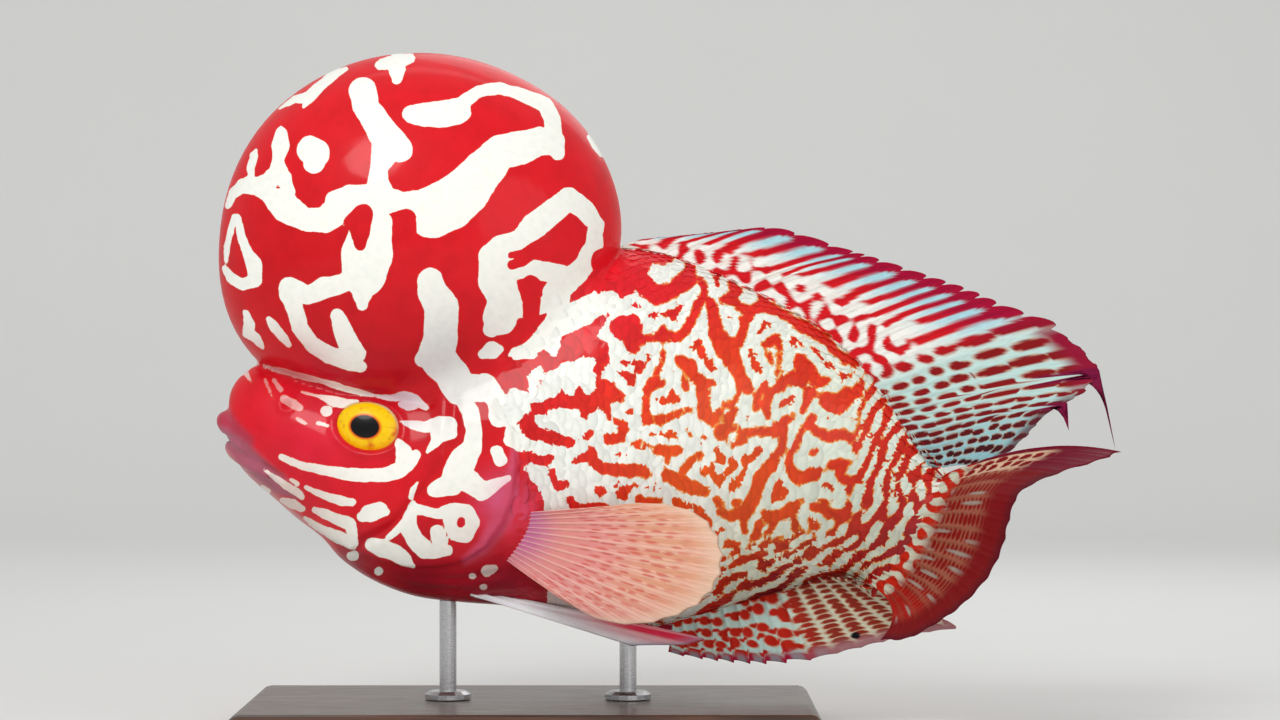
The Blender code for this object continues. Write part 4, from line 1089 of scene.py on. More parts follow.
class FISH_OT_scales(bpy.types.Operator):
    """Lay the flank's overlapping scales over the skin"""
    bl_idname = "fish.scales"
    bl_label = "Scales"

    def execute(self, context):
        sizes = context.scene.fish_sizes
        skin = bpy.data.objects["skin"]
        tree = surface_of(skin)
        points = points_of(skin.data)
        finder = KDTree(len(points))
        for i, point in enumerate(points):
            finder.insert(point, i)
        finder.balance()
        values = {}
        for name, width, key in (("mark", 1, "value"), ("fringe", 1, "value"), ("ground", 4, "color"),
                                 ("pale", 4, "color")):
            data = np.empty(len(points) * width, np.float32)
            skin.data.attributes[name].data.foreach_get(key, data)
            values[name] = data.reshape(len(points), width)
        finish = skin_material("fish_scales", context.scene.fish_colours.fringe, 700.0)
        plate, faces = self.plate()
        for side, word in ((1, "left"), (-1, "right")):
            coat = self.coat("scales_" + word, side, sizes, tree, finder, values, plate, faces)
            coat.data.materials.append(finish)
            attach(coat, "root")
        return {"FINISHED"}

    def plate(self):
        """The points and faces of one scale: a domed disc, its root at -x and its free edge at +x."""
        bm = bmesh.new()
        bmesh.ops.create_circle(bm, cap_ends=True, radius=0.5, segments=SCALE_SEGMENTS)
        crown = bmesh.ops.poke(bm, faces=bm.faces[:])["verts"][0]
        spokes = list(crown.link_edges)
        bmesh.ops.subdivide_edges(bm, edges=spokes, cuts=1)
        for v in bm.verts:
            v.co.z = SCALE_DOME * (1 - (v.co.x ** 2 + v.co.y ** 2) / 0.25)
        skirt = [e for e in bm.edges if e.is_boundary]
        made = bmesh.ops.extrude_edge_only(bm, edges=skirt)["geom"]
        low = [v for v in made if isinstance(v, bmesh.types.BMVert)]
        for v in low:
            v.co.z = -SCALE_SKIRT
        bmesh.ops.holes_fill(bm, edges=bm.edges, sides=0)
        bmesh.ops.triangulate(bm, faces=bm.faces)
        bmesh.ops.recalc_face_normals(bm, faces=bm.faces)
        bm.verts.ensure_lookup_table()
        points = np.array([v.co for v in bm.verts])
        faces = np.array([[v.index for v in f.verts] for f in bm.faces])
        bm.free()
        return points, faces

    def coat(self, name, side, sizes, tree, finder, values, plate, faces):
        rng = np.random.default_rng(SCALE_SEEDS["left" if side > 0 else "right"])
        spots, charts = self.lattice(side, tree)
        edge = ramp(np.hypot(plate[:, 0], plate[:, 1]), 0.3, 0.5) * ramp(plate[:, 0], -0.1, 0.3)
        co, marks, fringes, grounds, pales, uvs = [], [], [], [], [], []
        for (point, normal, back, width), (chart_u, chart_v) in zip(spots, charts):
            across = normal.cross(back).normalized()
            long = sizes.scale_length * (1 + LENGTH_SPREAD * rng.standard_normal())
            lift = sizes.scale_lift * (1 + LIFT_SPREAD * rng.standard_normal())
            shift = plate[:, 0:1] + 0.5
            stand = plate[:, 2:3] * SCALE_HEIGHT * MM + lift * shift ** 1.5 - SCALE_SUNK
            turned = (np.array(back) * (plate[:, 0:1] - 0.1) * long + np.array(across) * plate[:, 1:2] * width
                      + np.array(normal) * stand)
            placed = turned + np.array(point)
            near = finder.find(point + back * long * 0.15)[1]
            own = values["mark"][near][0]
            local = np.array([values["mark"][finder.find(p)[1]][0] for p in placed])
            co.append(placed)
            marks.append(OWN_MARK * own + (1 - OWN_MARK) * local)
            fringes.append(np.full(len(plate), values["fringe"][near][0]))
            # the tint differs at random from scale to scale; the darkening towards the free edge is painted
            # shade
            shade = (1 + TINT_SPREAD * rng.standard_normal()) * (1 - EDGE_SHADE * edge[:, None])
            grounds.append(values["ground"][near][None, :3] * shade)
            pales.append(values["pale"][near][None, :3] * shade)
            uvs.append(plate[:, :2] * SCALE_PATCH + np.array((chart_u, chart_v)))
        count = len(co)
        if count == 0:
            raise RuntimeError("no scale found a place on the skin")
        every = (faces[None, :, :] + (np.arange(count) * len(plate))[:, None, None]).reshape(-1, 3)
        mesh = bpy.data.meshes.new(name)
        mesh.from_pydata(np.concatenate(co).tolist(), [], every.tolist())
        mesh.update()
        set_number(mesh, "mark", np.concatenate(marks))
        set_number(mesh, "fringe", np.concatenate(fringes))
        set_colour(mesh, "ground", np.concatenate(grounds))
        set_colour(mesh, "pale", np.concatenate(pales))
        chart = mesh.uv_layers.new(name="OFBake")
        chart.data.foreach_set("uv", np.concatenate(uvs)[every.ravel()].astype(np.float32).ravel())
        coat = bpy.data.objects.new(name, mesh)
        bpy.context.scene.collection.objects.link(coat)
        mesh.shade_smooth()
        mesh.set_sharp_from_angle(angle=math.radians(40))
        return coat

    def lattice(self, side, tree):
        """Places of the scales in rows along the flank, each other row half a step back."""
        spots, charts = [], []
        column, rib = 0, FIRST_SCALE_RIB
        while rib < TAIL_RIB - 0.1:
            top_x, top_y, low_x, low_y, _, bend = smooth(RIBS, rib)
            middle = place((top_x + low_x) / 2, (top_y + low_y) / 2, bend)
            height = math.hypot(low_x - top_x, low_y - top_y)
            rows = max(10, int(height / SCALE_ROW * ROWS_SHARE))
            for row in range(rows):
                turn = math.pi * (row + 0.5 * (column % 2) + 0.25) / rows
                if turn > math.pi:
                    continue
                target = body_point(rib, turn * side)
                out = (target - middle).normalized()
                point, normal, _, _ = tree.ray_cast(middle + out * 0.12, -out)
                if point is None:
                    continue
                before = body_point(rib - 0.3, turn * side)
                back = target - before
                back = (back - normal * back.dot(normal)).normalized()
                x, y = side_view(np.array([point]))
                if not self.scaled(x[0], y[0]):
                    continue
                width = SCALE_OVERLAP * math.pi * height * UNIT / rows / 2 * GIRTH_SHARE
                spots.append((point, normal, back, width))
                charts.append((rib / TAIL_RIB, turn * side / (2 * math.pi) % 1.0))
            rib += self.step(rib)
            column += 1
        return spots, charts

    def step(self, rib):
        """How far along the ribs the next column of scales stands."""
        here, there = smooth(RIBS, rib), smooth(RIBS, rib + 0.5)
        span = math.hypot((there[0] + there[2] - here[0] - here[2]) / 2,
                          (there[1] + there[3] - here[1] - here[3]) / 2) * 2
        return SCALE_COLUMN / max(span, 8.0)

    def scaled(self, x, y):
        """Whether a place of the side view carries scales: behind the gill cover and off the hump."""
        off_hump = x + y > HUMP_SLANT and (x > HUMP_CORNER[0] or y > HUMP_CORNER[1])
        high, low = SHOULDER_SCALES_BETWEEN
        return off_hump and (x > SCALES_FROM or (x > SHOULDER_SCALES_FROM and high < y < low))


def fin_sheet(name, line, rays, rows, sizes, paint, stretch, mirror=False, ridge=1.0, per_ray=8, swell=0.0):
    """A fin as one closed sheet with its rays as ridges. line(across, along) gives its middle
    surface, and stretch(across) how far a place of the edge stands out or falls short."""
    columns = per_ray * (rays - 1)
    sheet = []
    for c in range(columns + 1):
        across = c / columns
        reach = stretch(across * (rays - 1))
        sheet.append([line(across, r / rows * reach) for r in range(rows + 1)])
    middle = np.array(sheet)
    if mirror:
        middle[:, :, 1] *= -1
    normal = np.cross(np.gradient(middle, axis=0), np.gradient(middle, axis=1))
    normal /= np.maximum(np.linalg.norm(normal, axis=2), 1e-12)[:, :, None]
    u = np.arange(columns + 1) / per_ray
    v = np.arange(rows + 1) / rows
    to_ray = np.abs(u - np.round(u))[:, None]
    split = ramp(v, *BRANCH_RANGE)[None, :]
    single = np.exp(-(to_ray / RAY_HALF) ** 2)
    double = np.exp(-((to_ray - BRANCH_OUT) / BRANCH_HALF) ** 2)
    ridges = single * (1 - split) + double * split * 0.8
    ray_height = (sizes.ray * ridge * (1 - 0.75 * v))[None, :]
    joints = 1 + 0.06 * np.sin(v * rows * 1.3)[None, :]
    half = (sizes.membrane * (1 - 0.35 * v)[None, :] + ray_height * ridges * joints) / 2
    edge = np.minimum(np.minimum(np.arange(columns + 1), columns - np.arange(columns + 1))[:, None],
                      (rows - np.arange(rows + 1))[None, :])
    half = half * np.sqrt(np.clip(edge / 2.0, 0, 1)) + swell * (1 - ramp(v, 0.0, SWELL_TO))[None, :] ** 2
    bm = bmesh.new()
    for face in (1, -1):
        made = bmesh.ops.create_grid(bm, x_segments=columns, y_segments=rows, size=0.5)["verts"]
        for vert in made:
            c = round((vert.co.x + 0.5) * columns)
            r = round((vert.co.y + 0.5) * rows)
            vert.co = middle[c, r] + face * normal[c, r] * half[c, r]
    bmesh.ops.remove_doubles(bm, verts=bm.verts, dist=1e-7)
    bmesh.ops.holes_fill(bm, edges=bm.edges, sides=0)
    made = mesh_object(name, bm)
    finder = KDTree((columns + 1) * (rows + 1))
    for c in range(columns + 1):
        for r in range(rows + 1):
            finder.insert(middle[c, r], c * (rows + 1) + r)
    finder.balance()
    index = np.array([finder.find(v.co)[1] for v in made.data.vertices])
    at_u, at_v = u[index // (rows + 1)], v[index % (rows + 1)]
    x, y = side_view(points_of(made.data))
    set_colour(made.data, "tint", paint(at_u, at_v, x, y))
    chart = made.data.uv_layers.new(name="Rays")
    loops = np.empty(len(made.data.loops), np.int32)
    made.data.loops.foreach_get("vertex_index", loops)
    chart.data.foreach_set("uv", np.stack([at_u[loops], at_v[loops]], axis=1).astype(np.float32).ravel())
    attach(made, "root")
    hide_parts(name)
    return made


def fin_material():
    """Wet fin membrane: its painted tint, with fine streaks along the rays."""
    nodes = Nodes("fish_fin")
    tint = nodes.attribute("tint", "Color")
    chart = nodes.add("ShaderNodeUVMap", uv_map="Rays").outputs["UV"]
    streak = nodes.noise(3.0, 4.0, where=nodes.drawn(chart, (7.0, 5.0, 1.0)))
    darker = nodes.mix(1.0, tint, (0.62, 0.58, 0.6, 1), "MULTIPLY")
    colour = nodes.mix(nodes.scaled_by(nodes.step(streak, 0.42, 0.72), 0.4), tint, darker)
    nodes.shade(Base_Color=colour, Roughness=0.5, Coat_Weight=0.05, Coat_Roughness=0.15,
                Subsurface_Weight=0.1, Subsurface_Radius=(1.0, 0.6, 0.5), Subsurface_Scale=0.0004,
                Specular_IOR_Level=0.06)
    nodes.shade(Normal=nodes.bump(streak, 0.3, 0.0002))
    return nodes.material


def median_fin_line(table, turn, sunk, bow):
    """The middle surface of a fin on the back or belly; sunk is how deep its root lies."""
    def line(across, along):
        rib, x, y, side = smooth(table, across * (len(table) - 1))
        root = body_point(rib, turn)
        tip = place(x, y, side)
        root = root + (root - tip).normalized() * sunk
        lift = Vector((0, 0, bow * 4 * along * (1 - along)))
        return root.lerp(tip, along) + lift
    return line


def tail_line(across, along):
    """The middle surface of the tail fin, which sweeps to the fish's left."""
    x, y, side = smooth(TAIL, across * (len(TAIL) - 1))
    turn = math.pi * (0.08 + 0.84 * across)
    root = (body_point(TAIL_RIB, turn) + body_point(TAIL_RIB, -turn)) / 2
    before = (body_point(TAIL_RIB - 0.5, turn) + body_point(TAIL_RIB - 0.5, -turn)) / 2
    root += (before - root).normalized() * 2 * MM
    tip = place(x, y, side)
    up = Vector((0, 0, 1)) * 0.0045 * (1 - across) ** 2
    away = Vector((0.35, 0.0, 0)) * 0.012 * across
    curl = 4 * along * (1 - along)
    return root.lerp(tip, along) + (up + away) * curl


def paired_fin_line(roots, tips, sag):
    """The middle surface of a pectoral or pelvic fin, sagging outwards."""
    def line(across, along):
        tip = place(*smooth(tips, across * (len(tips) - 1)))
        root = roots[0].lerp(roots[1], across)
        bend = Vector((0, -sag, 0)) * 4 * along * (1 - along)
        return root.lerp(tip, along) + bend
    return line


def dorsal_line(across, along):
    """The dorsal fin's middle surface. What lies past its edge behind the spines hangs down."""
    plain = median_fin_line(DORSAL, 0.0, 2 * MM, 0.0012)
    over = max(along - 1.0, 0.0) if across * (DORSAL_RAYS - 1) > DORSAL_SPINES + 1 else 0.0
    return plain(across, along - over) + THREAD_HANG * UNIT * over / max(DORSAL_THREADS.values())


def blended(one, two, share):
    """Colours passing from one into two; a plain triple stands for one screen colour everywhere."""
    one, two = (np.array([linear(*c)]) if isinstance(c, tuple) else c for c in (one, two))
    share = np.clip(share, 0, 1)[:, None]
    return one * (1 - share) + two * share


def scatter(one, two):
    """Numbers from 0 to 1 without an order, the same for the same pair."""
    return np.modf(np.abs(np.sin(one * 12.9898 + two * 78.233) * 43758.5453))[0]


def dashes(u, v, count, length, width, loose=0.25):
    """Depth of places in a row of dashes between each two rays: 1 in their middles, 0 on their rims."""
    gap = np.floor(u)
    run = v * count + scatter(gap, 3.0)
    number = np.floor(run)
    middle = 0.5 + loose * (scatter(gap, number) - 0.5)
    half = length * (0.75 + 0.5 * scatter(number, gap + 7.0)) / 2
    slide = loose * (scatter(number + 5.0, gap) - 0.5)
    return 1 - np.hypot((run - number - middle) / half, (u - gap - 0.5 - slide) / (width / 2))


def dorsal_paint(u, v, x, y):
    """Pale and crimson streaks on the spines, rows of dark dashes behind, and a crimson edge."""
    soft = ramp(u, DORSAL_SPINES - 1.5, DORSAL_SPINES + 0.5)
    low = ramp(u, 20, 27)
    pale = blended((246, 246, 238), (150, 214, 228), ramp(v, 0.35, 0.75) * (1 - soft) * 0.8)
    pale = blended(pale, (196, 226, 220), soft)
    pale = blended(pale, (132, 186, 196), low * 0.8)
    red = blended((214, 24, 34), (168, 10, 54), ramp(v, 0.45, 0.85))
    red = blended(red, (140, 22, 24), soft)
    red = blended(red, (66, 16, 22), low)
    sway = 0.22 * np.sin(v * 9 + np.floor(u) * 2.1) * ramp(v, 0.75, 0.2)
    across = np.abs(u + sway - np.floor(u + sway) - 0.5)
    wide = 0.23 + 0.05 * scatter(np.floor(u), 1.0) + 0.30 * ramp(v, 0.80, 0.97)
    streak = (wide - across) / 0.5
    start = 0.24 + 0.26 * scatter(np.floor(u), 9.0)
    streak = np.minimum(streak, (v - start) * 3)
    network = 0.30 * maze(x, y, 17.0)
    meet = ramp(v, 0.40, 0.22)
    streak = streak * (1 - meet) + network * meet
    pieces = np.where(u < 21.5, dashes(u, v, 5.0, 1.0, 0.56), dashes(u, v, 9.0, 0.95, 0.60))
    pieces = np.where((u < 21.5) & (v < 0.45), dashes(u, v, 9.5, 0.8, 0.6), pieces)
    depth = streak * (1 - soft) + pieces * soft
    colour = blended(pale, (206, 140, 96), ramp(depth, -0.30, -0.08) * 0.7 * soft)
    colour = blended(colour, red, ramp(depth, -0.10, 0.06))
    hair = np.abs(np.modf(u * 3.0)[0] - 0.5)
    colour = colour * (1 - 0.16 * (hair < 0.10) * (1 - soft))[:, None]
    fore_soft = ramp(u, 16, 17.5) * ramp(u, 22.5, 20.0)
    colour = blended(colour, (150, 18, 52), fore_soft * ramp(v, 0.84, 0.95))
    colour = blended(colour, (92, 34, 44), ramp(u, 21, 22.5) * ramp(v, 0.84, 0.97) * 0.8)
    for ray, start in ((20, 0.66), (23, 0.80)):
        thread = ramp(np.abs(u - ray), 0.5, 0.3) * ramp(v, start, start + 0.06)
        colour = blended(colour, (126, 18, 62), thread)
    return colour


def anal_paint(u, v, x, y):
    """Pale skin with red blobs in front, rows of fine scallops behind and a purple edge."""
    behind = ramp(u, 7.0, 9.5)
    pale = blended((198, 226, 218), (214, 214, 190), behind)
    red = blended((196, 36, 18), (146, 48, 34), behind)
    blobs = np.maximum(dashes(u, v, 4.6, 0.75, 0.72, 0.45), dashes(u + 0.5, v, 5.2, 0.4, 0.55, 0.5))
    depth = blobs * (1 - behind) + dashes(u, v, 15.0, 0.9, 0.78, 0.1) * behind
    depth = np.maximum(depth, 0.35 * maze(x, y, 12.0) - 2 * ramp(v, 0.05, 0.2))
    colour = blended(pale, (210, 150, 104), ramp(depth, -0.30, -0.06) * 0.7)
    colour = blended(colour, red, ramp(depth, -0.08, 0.10))
    edge = ramp(v, 0.80, 0.95)
    lobe = ramp(np.abs(u - np.round(u)), 0.36, 0.14)
    purple = blended((150, 140, 150), (172, 24, 60), lobe)
    colour = blended(colour, blended(purple, (168, 118, 122), behind), edge)
    spot_x, spot_y, half_length, half_height = ANAL_SPOT
    spot = np.hypot((x - spot_x) / half_length, (y - spot_y) / half_height)
    return blended(colour, (10, 12, 18), ramp(spot, 1.1, 0.85))


def tail_paint(u, v, x, y):
    """Brownish red with rows of fine crescents, pale streaks, a dark hind edge and a redder lower part."""
    low = ramp(u, 10.5, 13.5)
    base = blended((154, 90, 70), (160, 42, 32), low * 0.8)
    red = blended((132, 14, 12), (170, 8, 10), low)
    depth = dashes(u, v, 22.0, 0.86, 0.84, 0.12)
    colour = blended(base, red, ramp(depth, -0.10, 0.22))
    network = blended((196, 40, 20), (206, 210, 188), ramp(maze(x, y, 14.0), 0.0, 0.2))
    colour = blended(network, colour, ramp(v, 0.14, 0.30))
    few = (scatter(np.floor(u), 21.0) > 0.25) * ramp(u, 3.5, 5.0)
    pale = dashes(u, v, 2.3, 0.75, 0.32, 0.6) * few
    middle = ramp(v, 0.2, 0.3) * ramp(v, 0.86, 0.7)
    colour = blended(colour, (160, 160, 148), ramp(pale, 0.0, 0.5) * middle * 0.8)
    colour = blended(colour, (122, 2, 16), ramp(v, 0.58, 0.78))
    colour = blended(colour, (92, 0, 22), ramp(v, 0.88, 0.99))
    upper = ramp(u, 3.3, 2.6)
    spots = dashes(u * 1.1, v, 13.0, 0.72, 0.62, 0.2)
    crest = blended((214, 180, 150), (128, 8, 18), ramp(spots, -0.12, 0.04))
    crest = blended(crest, (112, 0, 34), np.maximum(ramp(v, 0.60, 0.74), ramp(u, 1.0, 0.5)))
    return blended(colour, crest, upper * ramp(v, 0.12, 0.25))


def pectoral_paint(u, v, x, y):
    """Clear pink skin, mauve at its root, with fine pale rays and an arc of short red dashes."""
    colour = blended((204, 116, 160), (230, 150, 142), ramp(v, 0.05, 0.26))
    colour = blended(colour, (224, 160, 128), ramp(v, 0.40, 0.75))
    colour = blended(colour, (214, 140, 140), ramp(u, 7, 12) * 0.7)
    ray = ramp(np.abs(u - np.round(u)), 0.14, 0.05)
    split = ramp(np.abs(np.abs(u - np.round(u)) - 0.25), 0.10, 0.03) * ramp(v, 0.35, 0.55)
    colour = blended(colour, (244, 206, 190), np.maximum(ray, split) * 0.55)
    flecks = dashes(u * 2.0, v, 11.0, 0.8, 0.5, 0.5)
    arc = ramp(v, 0.26, 0.40) * ramp(v, 0.94, 0.72)
    colour = blended(colour, (208, 66, 58), ramp(flecks, 0.0, 0.3) * arc * 0.62)
    return blended(colour, (232, 206, 180), ramp(v, 0.86, 1.0) * 0.6)


def pelvic_paint(u, v, x, y):
    """Blue white leading part and a pink hind part."""
    colour = blended((246, 248, 252), (224, 52, 84), ramp(u, 0.0, 1.4) * ramp(x, *PELVIC_PINK))
    ray = ramp(np.abs(u - np.round(u)), 0.2, 0.08)
    colour = blended(colour, (246, 236, 236), ray * 0.4)
    return blended(colour, (150, 150, 176), ramp(v, 0.9, 0.99) * 0.5)


class FISH_OT_fins(bpy.types.Operator):
    """Build the fins as rayed sheets with their own colours"""
    bl_idname = "fish.fins"
    bl_label = "Fins"

    def execute(self, context):
        sizes = context.scene.fish_sizes
        tree = surface_of(bpy.data.objects["skin"])
        finish = fin_material()
        made = [fin_sheet("dorsal_fin", dorsal_line, DORSAL_RAYS, 110, sizes, dorsal_paint, self.dorsal_edge,
                          swell=2.4 * MM)]
        anal_line = median_fin_line(ANAL, math.pi, 2 * MM, -0.0008)
        made.append(fin_sheet("anal_fin", anal_line, ANAL_RAYS, 90, sizes, anal_paint, self.anal_edge,
                              per_ray=12, swell=1.5 * MM))
        made.append(fin_sheet("tail_fin", tail_line, TAIL_RAYS, 130, sizes, tail_paint, self.tail_edge,
                              per_ray=12, swell=1.2 * MM))
        for word, mirror in (("left", False), ("right", True)):
            roots = []
            for x, y in PECTORAL_ROOT:
                point, normal = on_left_side(tree, x, y)
                roots.append(point - normal * 1.5 * MM)
            line = paired_fin_line(roots, PECTORAL, 0.003)
            made.append(fin_sheet("pectoral_fin_" + word, line, PECTORAL_RAYS, 70, sizes, pectoral_paint,
                                  self.plain_edge, mirror, ridge=0.35, per_ray=12))
            roots = [place(*point) + Vector((0, 0, 2 * MM)) for point in PELVIC_ROOT]
            line = paired_fin_line(roots, PELVIC, 0.0)
            made.append(fin_sheet("pelvic_fin_" + word, line, PELVIC_RAYS, 40, sizes, pelvic_paint,
                                  self.plain_edge, mirror))
        for fin in made:
            fin.data.materials.append(finish)
        return {"FINISHED"}

    def dorsal_edge(self, ray):
        """Rounded lobes between the spines, and two long threads behind."""
        part = ray - math.floor(ray)
        if ray < DORSAL_SPINES:
            return 0.97 + 0.075 * math.sqrt(max(1 - (2 * part - 1) ** 2, 0.0))
        far = 0.97
        for thread, length in DORSAL_THREADS.items():
            far += (length + 0.03) * math.exp(-((ray - thread) / 0.16) ** 2)
        return far + 0.03 * scatter(math.floor(ray * 3), 2.0) * math.sin(math.pi * part)

    def anal_edge(self, ray):
        """Pointed tips of the spines in front and a nearly smooth edge behind."""
        part = ray - math.floor(ray)
        if ray < ANAL_SPINES:
            return 0.96 + 0.07 * part ** 2
        return 1.0 - 0.02 * abs(math.sin(math.pi * ray))

    def tail_edge(self, ray):
        return 1.0 - 0.02 * abs(math.sin(math.pi * ray))

    def plain_edge(self, ray):
        return 1.0 - 0.015 * abs(math.sin(math.pi * ray))


class FISH_OT_eyes(bpy.types.Operator):
    """Set the two eyes in their sockets"""
    bl_idname = "fish.eyes"
    bl_label = "Eyes"

    def execute(self, context):
        sizes = context.scene.fish_sizes
        colours = context.scene.fish_colours
        finish = self.material(colours)
        centre, turn = self.socket()
        for side, word in ((-1, "left"), (1, "right")):
            bm = bmesh.new()
            bmesh.ops.create_uvsphere(bm, u_segments=96, v_segments=64, radius=1.0)
            ball = np.array([v.co for v in bm.verts])
            placing = Matrix.Translation(centre) @ turn @ Matrix.Rotation(EYE_TILT, 4, "Z")
            if side > 0:
                placing = Matrix.Diagonal((1, -1, 1, 1)) @ placing
            radii = (sizes.eye_length, sizes.eye_height, sizes.eye_depth, 1.0)
            bmesh.ops.transform(bm, matrix=placing @ Matrix.Diagonal(radii), verts=bm.verts)
            eye = mesh_object("eye_" + word, bm)
            set_colour(eye.data, "ball", ball)
            eye.data.materials.append(finish)
            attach(eye, "root")
            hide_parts("eye_" + word)
        return {"FINISHED"}

    def socket(self):
        """The middle of the left eye and the way that it faces."""
        low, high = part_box("eye_left")
        turn = EYE_FACING.normalized().to_track_quat("Z", "Y").to_matrix().to_4x4()
        return (low + high) / 2, turn

    def material(self, colours):
        """Yellow iris with orange patches round a dark pupil, drawn in the ball's own places."""
        nodes = Nodes("fish_eye")
        ball = nodes.add("ShaderNodeSeparateXYZ", {0: nodes.attribute("ball", "Vector")})
        x, y = ball.outputs[0], ball.outputs[1]
        shifted_x = nodes.math("ADD", x, 0.06)
        shifted_y = nodes.math("ADD", y, -0.06)
        ring = nodes.math("SQRT", nodes.math("ADD", nodes.math("MULTIPLY", shifted_x, shifted_x),
                                             nodes.math("MULTIPLY", shifted_y, shifted_y)))
        streaks = nodes.noise(700.0, 4.0)
        patch = nodes.step(nodes.noise(190.0, 2.0), 0.58, 0.76)
        iris = nodes.mix(patch, (*colours.iris, 1), (*colours.iris_patch, 1))
        flecks = nodes.scaled_by(nodes.step(streaks, 0.5, 0.8), 0.5)
        iris = nodes.mix(flecks, iris, (0.4, 0.1, 0.01, 1))
        iris = nodes.mix(nodes.step(ring, 0.86, 0.99), iris, (0.62, 0.5, 0.42, 1))
        iris = nodes.mix(nodes.step(ring, 0.54, 0.42), iris, (*colours.iris_patch, 1))
        rim = nodes.mix(nodes.step(ring, 0.40, 0.44), (0.003, 0.003, 0.004, 1), iris)
        nodes.shade(Base_Color=rim, Roughness=0.3, Coat_Weight=0.16, Coat_Roughness=0.03,
                    Specular_IOR_Level=0.15)
        return nodes.material


class FISH_OT_stand(bpy.types.Operator):
    """Finish the wooden base and the steel rods of the stand"""
    bl_idname = "fish.stand"
    bl_label = "Stand"

    def execute(self, context):
        wood = Nodes("stand_wood")
        drawn = wood.where((9.0, 95.0, 95.0))
        grain = wood.noise(3.0, 6.0, where=drawn)
        fine = wood.noise(14.0, 4.0, where=drawn)
        dark = (*context.scene.fish_colours.wood, 1)
        light = tuple(min(c * 2.6, 1.0) for c in context.scene.fish_colours.wood) + (1.0,)
        colour = wood.mix(wood.step(grain, 0.35, 0.7), dark, light)
        colour = wood.mix(wood.scaled_by(wood.step(fine, 0.5, 0.8), 0.5), colour, dark)
        wood.shade(Base_Color=colour, Roughness=wood.step(fine, 0.2, 0.8, 0.32, 0.48), Coat_Weight=0.3,
                   Coat_Roughness=0.2, Normal=wood.bump(fine, 0.15, 0.0002))
        steel = Nodes("stand_steel")
        brushed = steel.noise(1.0, 3.0, where=steel.where((300, 300, 4000)))
        colour = steel.mix(brushed, (0.42, 0.42, 0.43, 1), (0.66, 0.66, 0.67, 1))
        steel.shade(Base_Color=colour, Metallic=1.0, Roughness=steel.step(brushed, 0.2, 0.8, 0.2, 0.38),
                    Normal=steel.bump(brushed, 0.1, 0.0001))
        for name, finish in (("stand_base", wood), ("stand_rod_front", steel), ("stand_rod_rear", steel)):
            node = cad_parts[name]
            node.data.materials.clear()
            node.data.materials.append(finish.material)
        return {"FINISHED"}


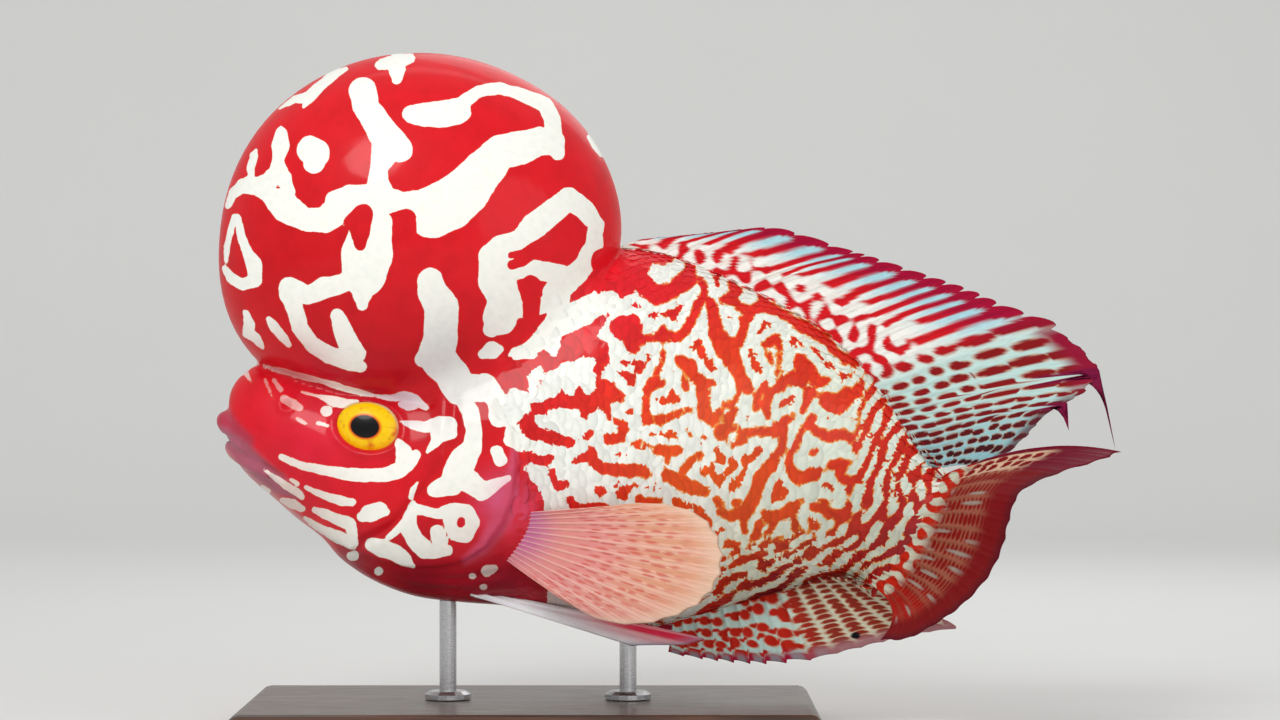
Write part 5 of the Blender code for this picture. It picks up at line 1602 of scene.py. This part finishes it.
class FISH_OT_stage(bpy.types.Operator):
    """Place the floor, the lights and the camera"""
    bl_idname = "fish.stage"
    bl_label = "Stage"

    def execute(self, context):
        floor = self.floor(context.scene.fish_colours.floor)
        scene = context.scene
        world = bpy.data.worlds.new("studio")
        world.use_nodes = True
        background = world.node_tree.nodes["Background"]
        background.inputs["Color"].default_value = (0.95, 0.95, 0.95, 1)
        background.inputs["Strength"].default_value = WORLD_STRENGTH
        scene.world = world
        for name, where, target, size, watts in LAMPS:
            self.light(name, Vector(where), Vector(target), size, watts)
        data = bpy.data.cameras.new("camera")
        data.sensor_width = SENSOR_WIDTH
        data.lens = data.sensor_width * VIEW_DISTANCE / (VIEW_WIDTH * UNIT)
        camera = bpy.data.objects.new("camera", data)
        camera.location = place(VIEW_X, VIEW_Y) - Vector((0, VIEW_DISTANCE, 0))
        camera.rotation_euler = (math.radians(90), 0, 0)
        scene.collection.objects.link(camera)
        scene.camera = camera
        scene.view_settings.view_transform = "Standard"
        return {"FINISHED"}

    def floor(self, colour):
        """A floor that rises smoothly into a backdrop."""
        bm = bmesh.new()
        bmesh.ops.create_grid(bm, x_segments=24, y_segments=60, size=0.5)
        for v in bm.verts:
            back = (v.co.y + 0.5) * FLOOR_DEPTH - FLOOR_FRONT
            rise = max(back - FLOOR_FLAT, 0.0)
            turn = min(rise, FLOOR_BEND) / FLOOR_RADIUS
            v.co = (v.co.x * FLOOR_WIDTH, min(back, FLOOR_FLAT) + FLOOR_RADIUS * math.sin(turn),
                    FLOOR_RADIUS * (1 - math.cos(turn)) + max(rise - FLOOR_BEND, 0.0) * 1.2)
        floor = mesh_object("floor", bm)
        nodes = Nodes("pale_floor")
        soft = nodes.noise(6.0, 2.0)
        darker = tuple(c * 0.97 for c in colour) + (1.0,)
        nodes.shade(Base_Color=nodes.mix(soft, (*colour, 1), darker), Roughness=0.75)
        floor.data.materials.append(nodes.material)
        return floor

    def light(self, name, where, target, size, watts):
        """A round lamp at a place, turned to its target."""
        data = bpy.data.lights.new(name, "AREA")
        data.shape = "DISK"
        data.size = size
        data.energy = watts
        lamp = bpy.data.objects.new(name, data)
        lamp.location = where
        lamp.rotation_euler = (target - where).to_track_quat("-Z", "Y").to_euler()
        bpy.context.scene.collection.objects.link(lamp)


class FISH_PT_panel(bpy.types.Panel):
    """The pieces of the fish"""
    bl_label = "Fish"
    bl_space_type = "VIEW_3D"
    bl_region_type = "UI"
    bl_category = "Fish"

    def draw(self, context):
        for group in (context.scene.fish_sizes, context.scene.fish_colours):
            for name in group.__annotations__:
                self.layout.prop(group, name)
        for operator in OPERATORS:
            self.layout.operator(operator.bl_idname)


OPERATORS = (FISH_OT_skin, FISH_OT_scales, FISH_OT_fins, FISH_OT_eyes, FISH_OT_stand, FISH_OT_stage)
CLASSES = (FishSizes, FishColours) + OPERATORS + (FISH_PT_panel,)


def register():
    """Registers the classes and hangs the sizes and colours on the scene."""
    for item in CLASSES:
        bpy.utils.register_class(item)
    bpy.types.Scene.fish_sizes = bpy.props.PointerProperty(type=FishSizes)
    bpy.types.Scene.fish_colours = bpy.props.PointerProperty(type=FishColours)


def unregister():
    """Undoes register."""
    del bpy.types.Scene.fish_colours
    del bpy.types.Scene.fish_sizes
    for item in reversed(CLASSES):
        bpy.utils.unregister_class(item)


def main():
    """Builds every piece."""
    register()
    bpy.ops.fish.skin()
    bpy.ops.fish.scales()
    bpy.ops.fish.fins()
    bpy.ops.fish.eyes()
    bpy.ops.fish.stand()
    bpy.ops.fish.stage()
    bpy.context.view_layer.update()


if __name__ == "__main__":
    main()
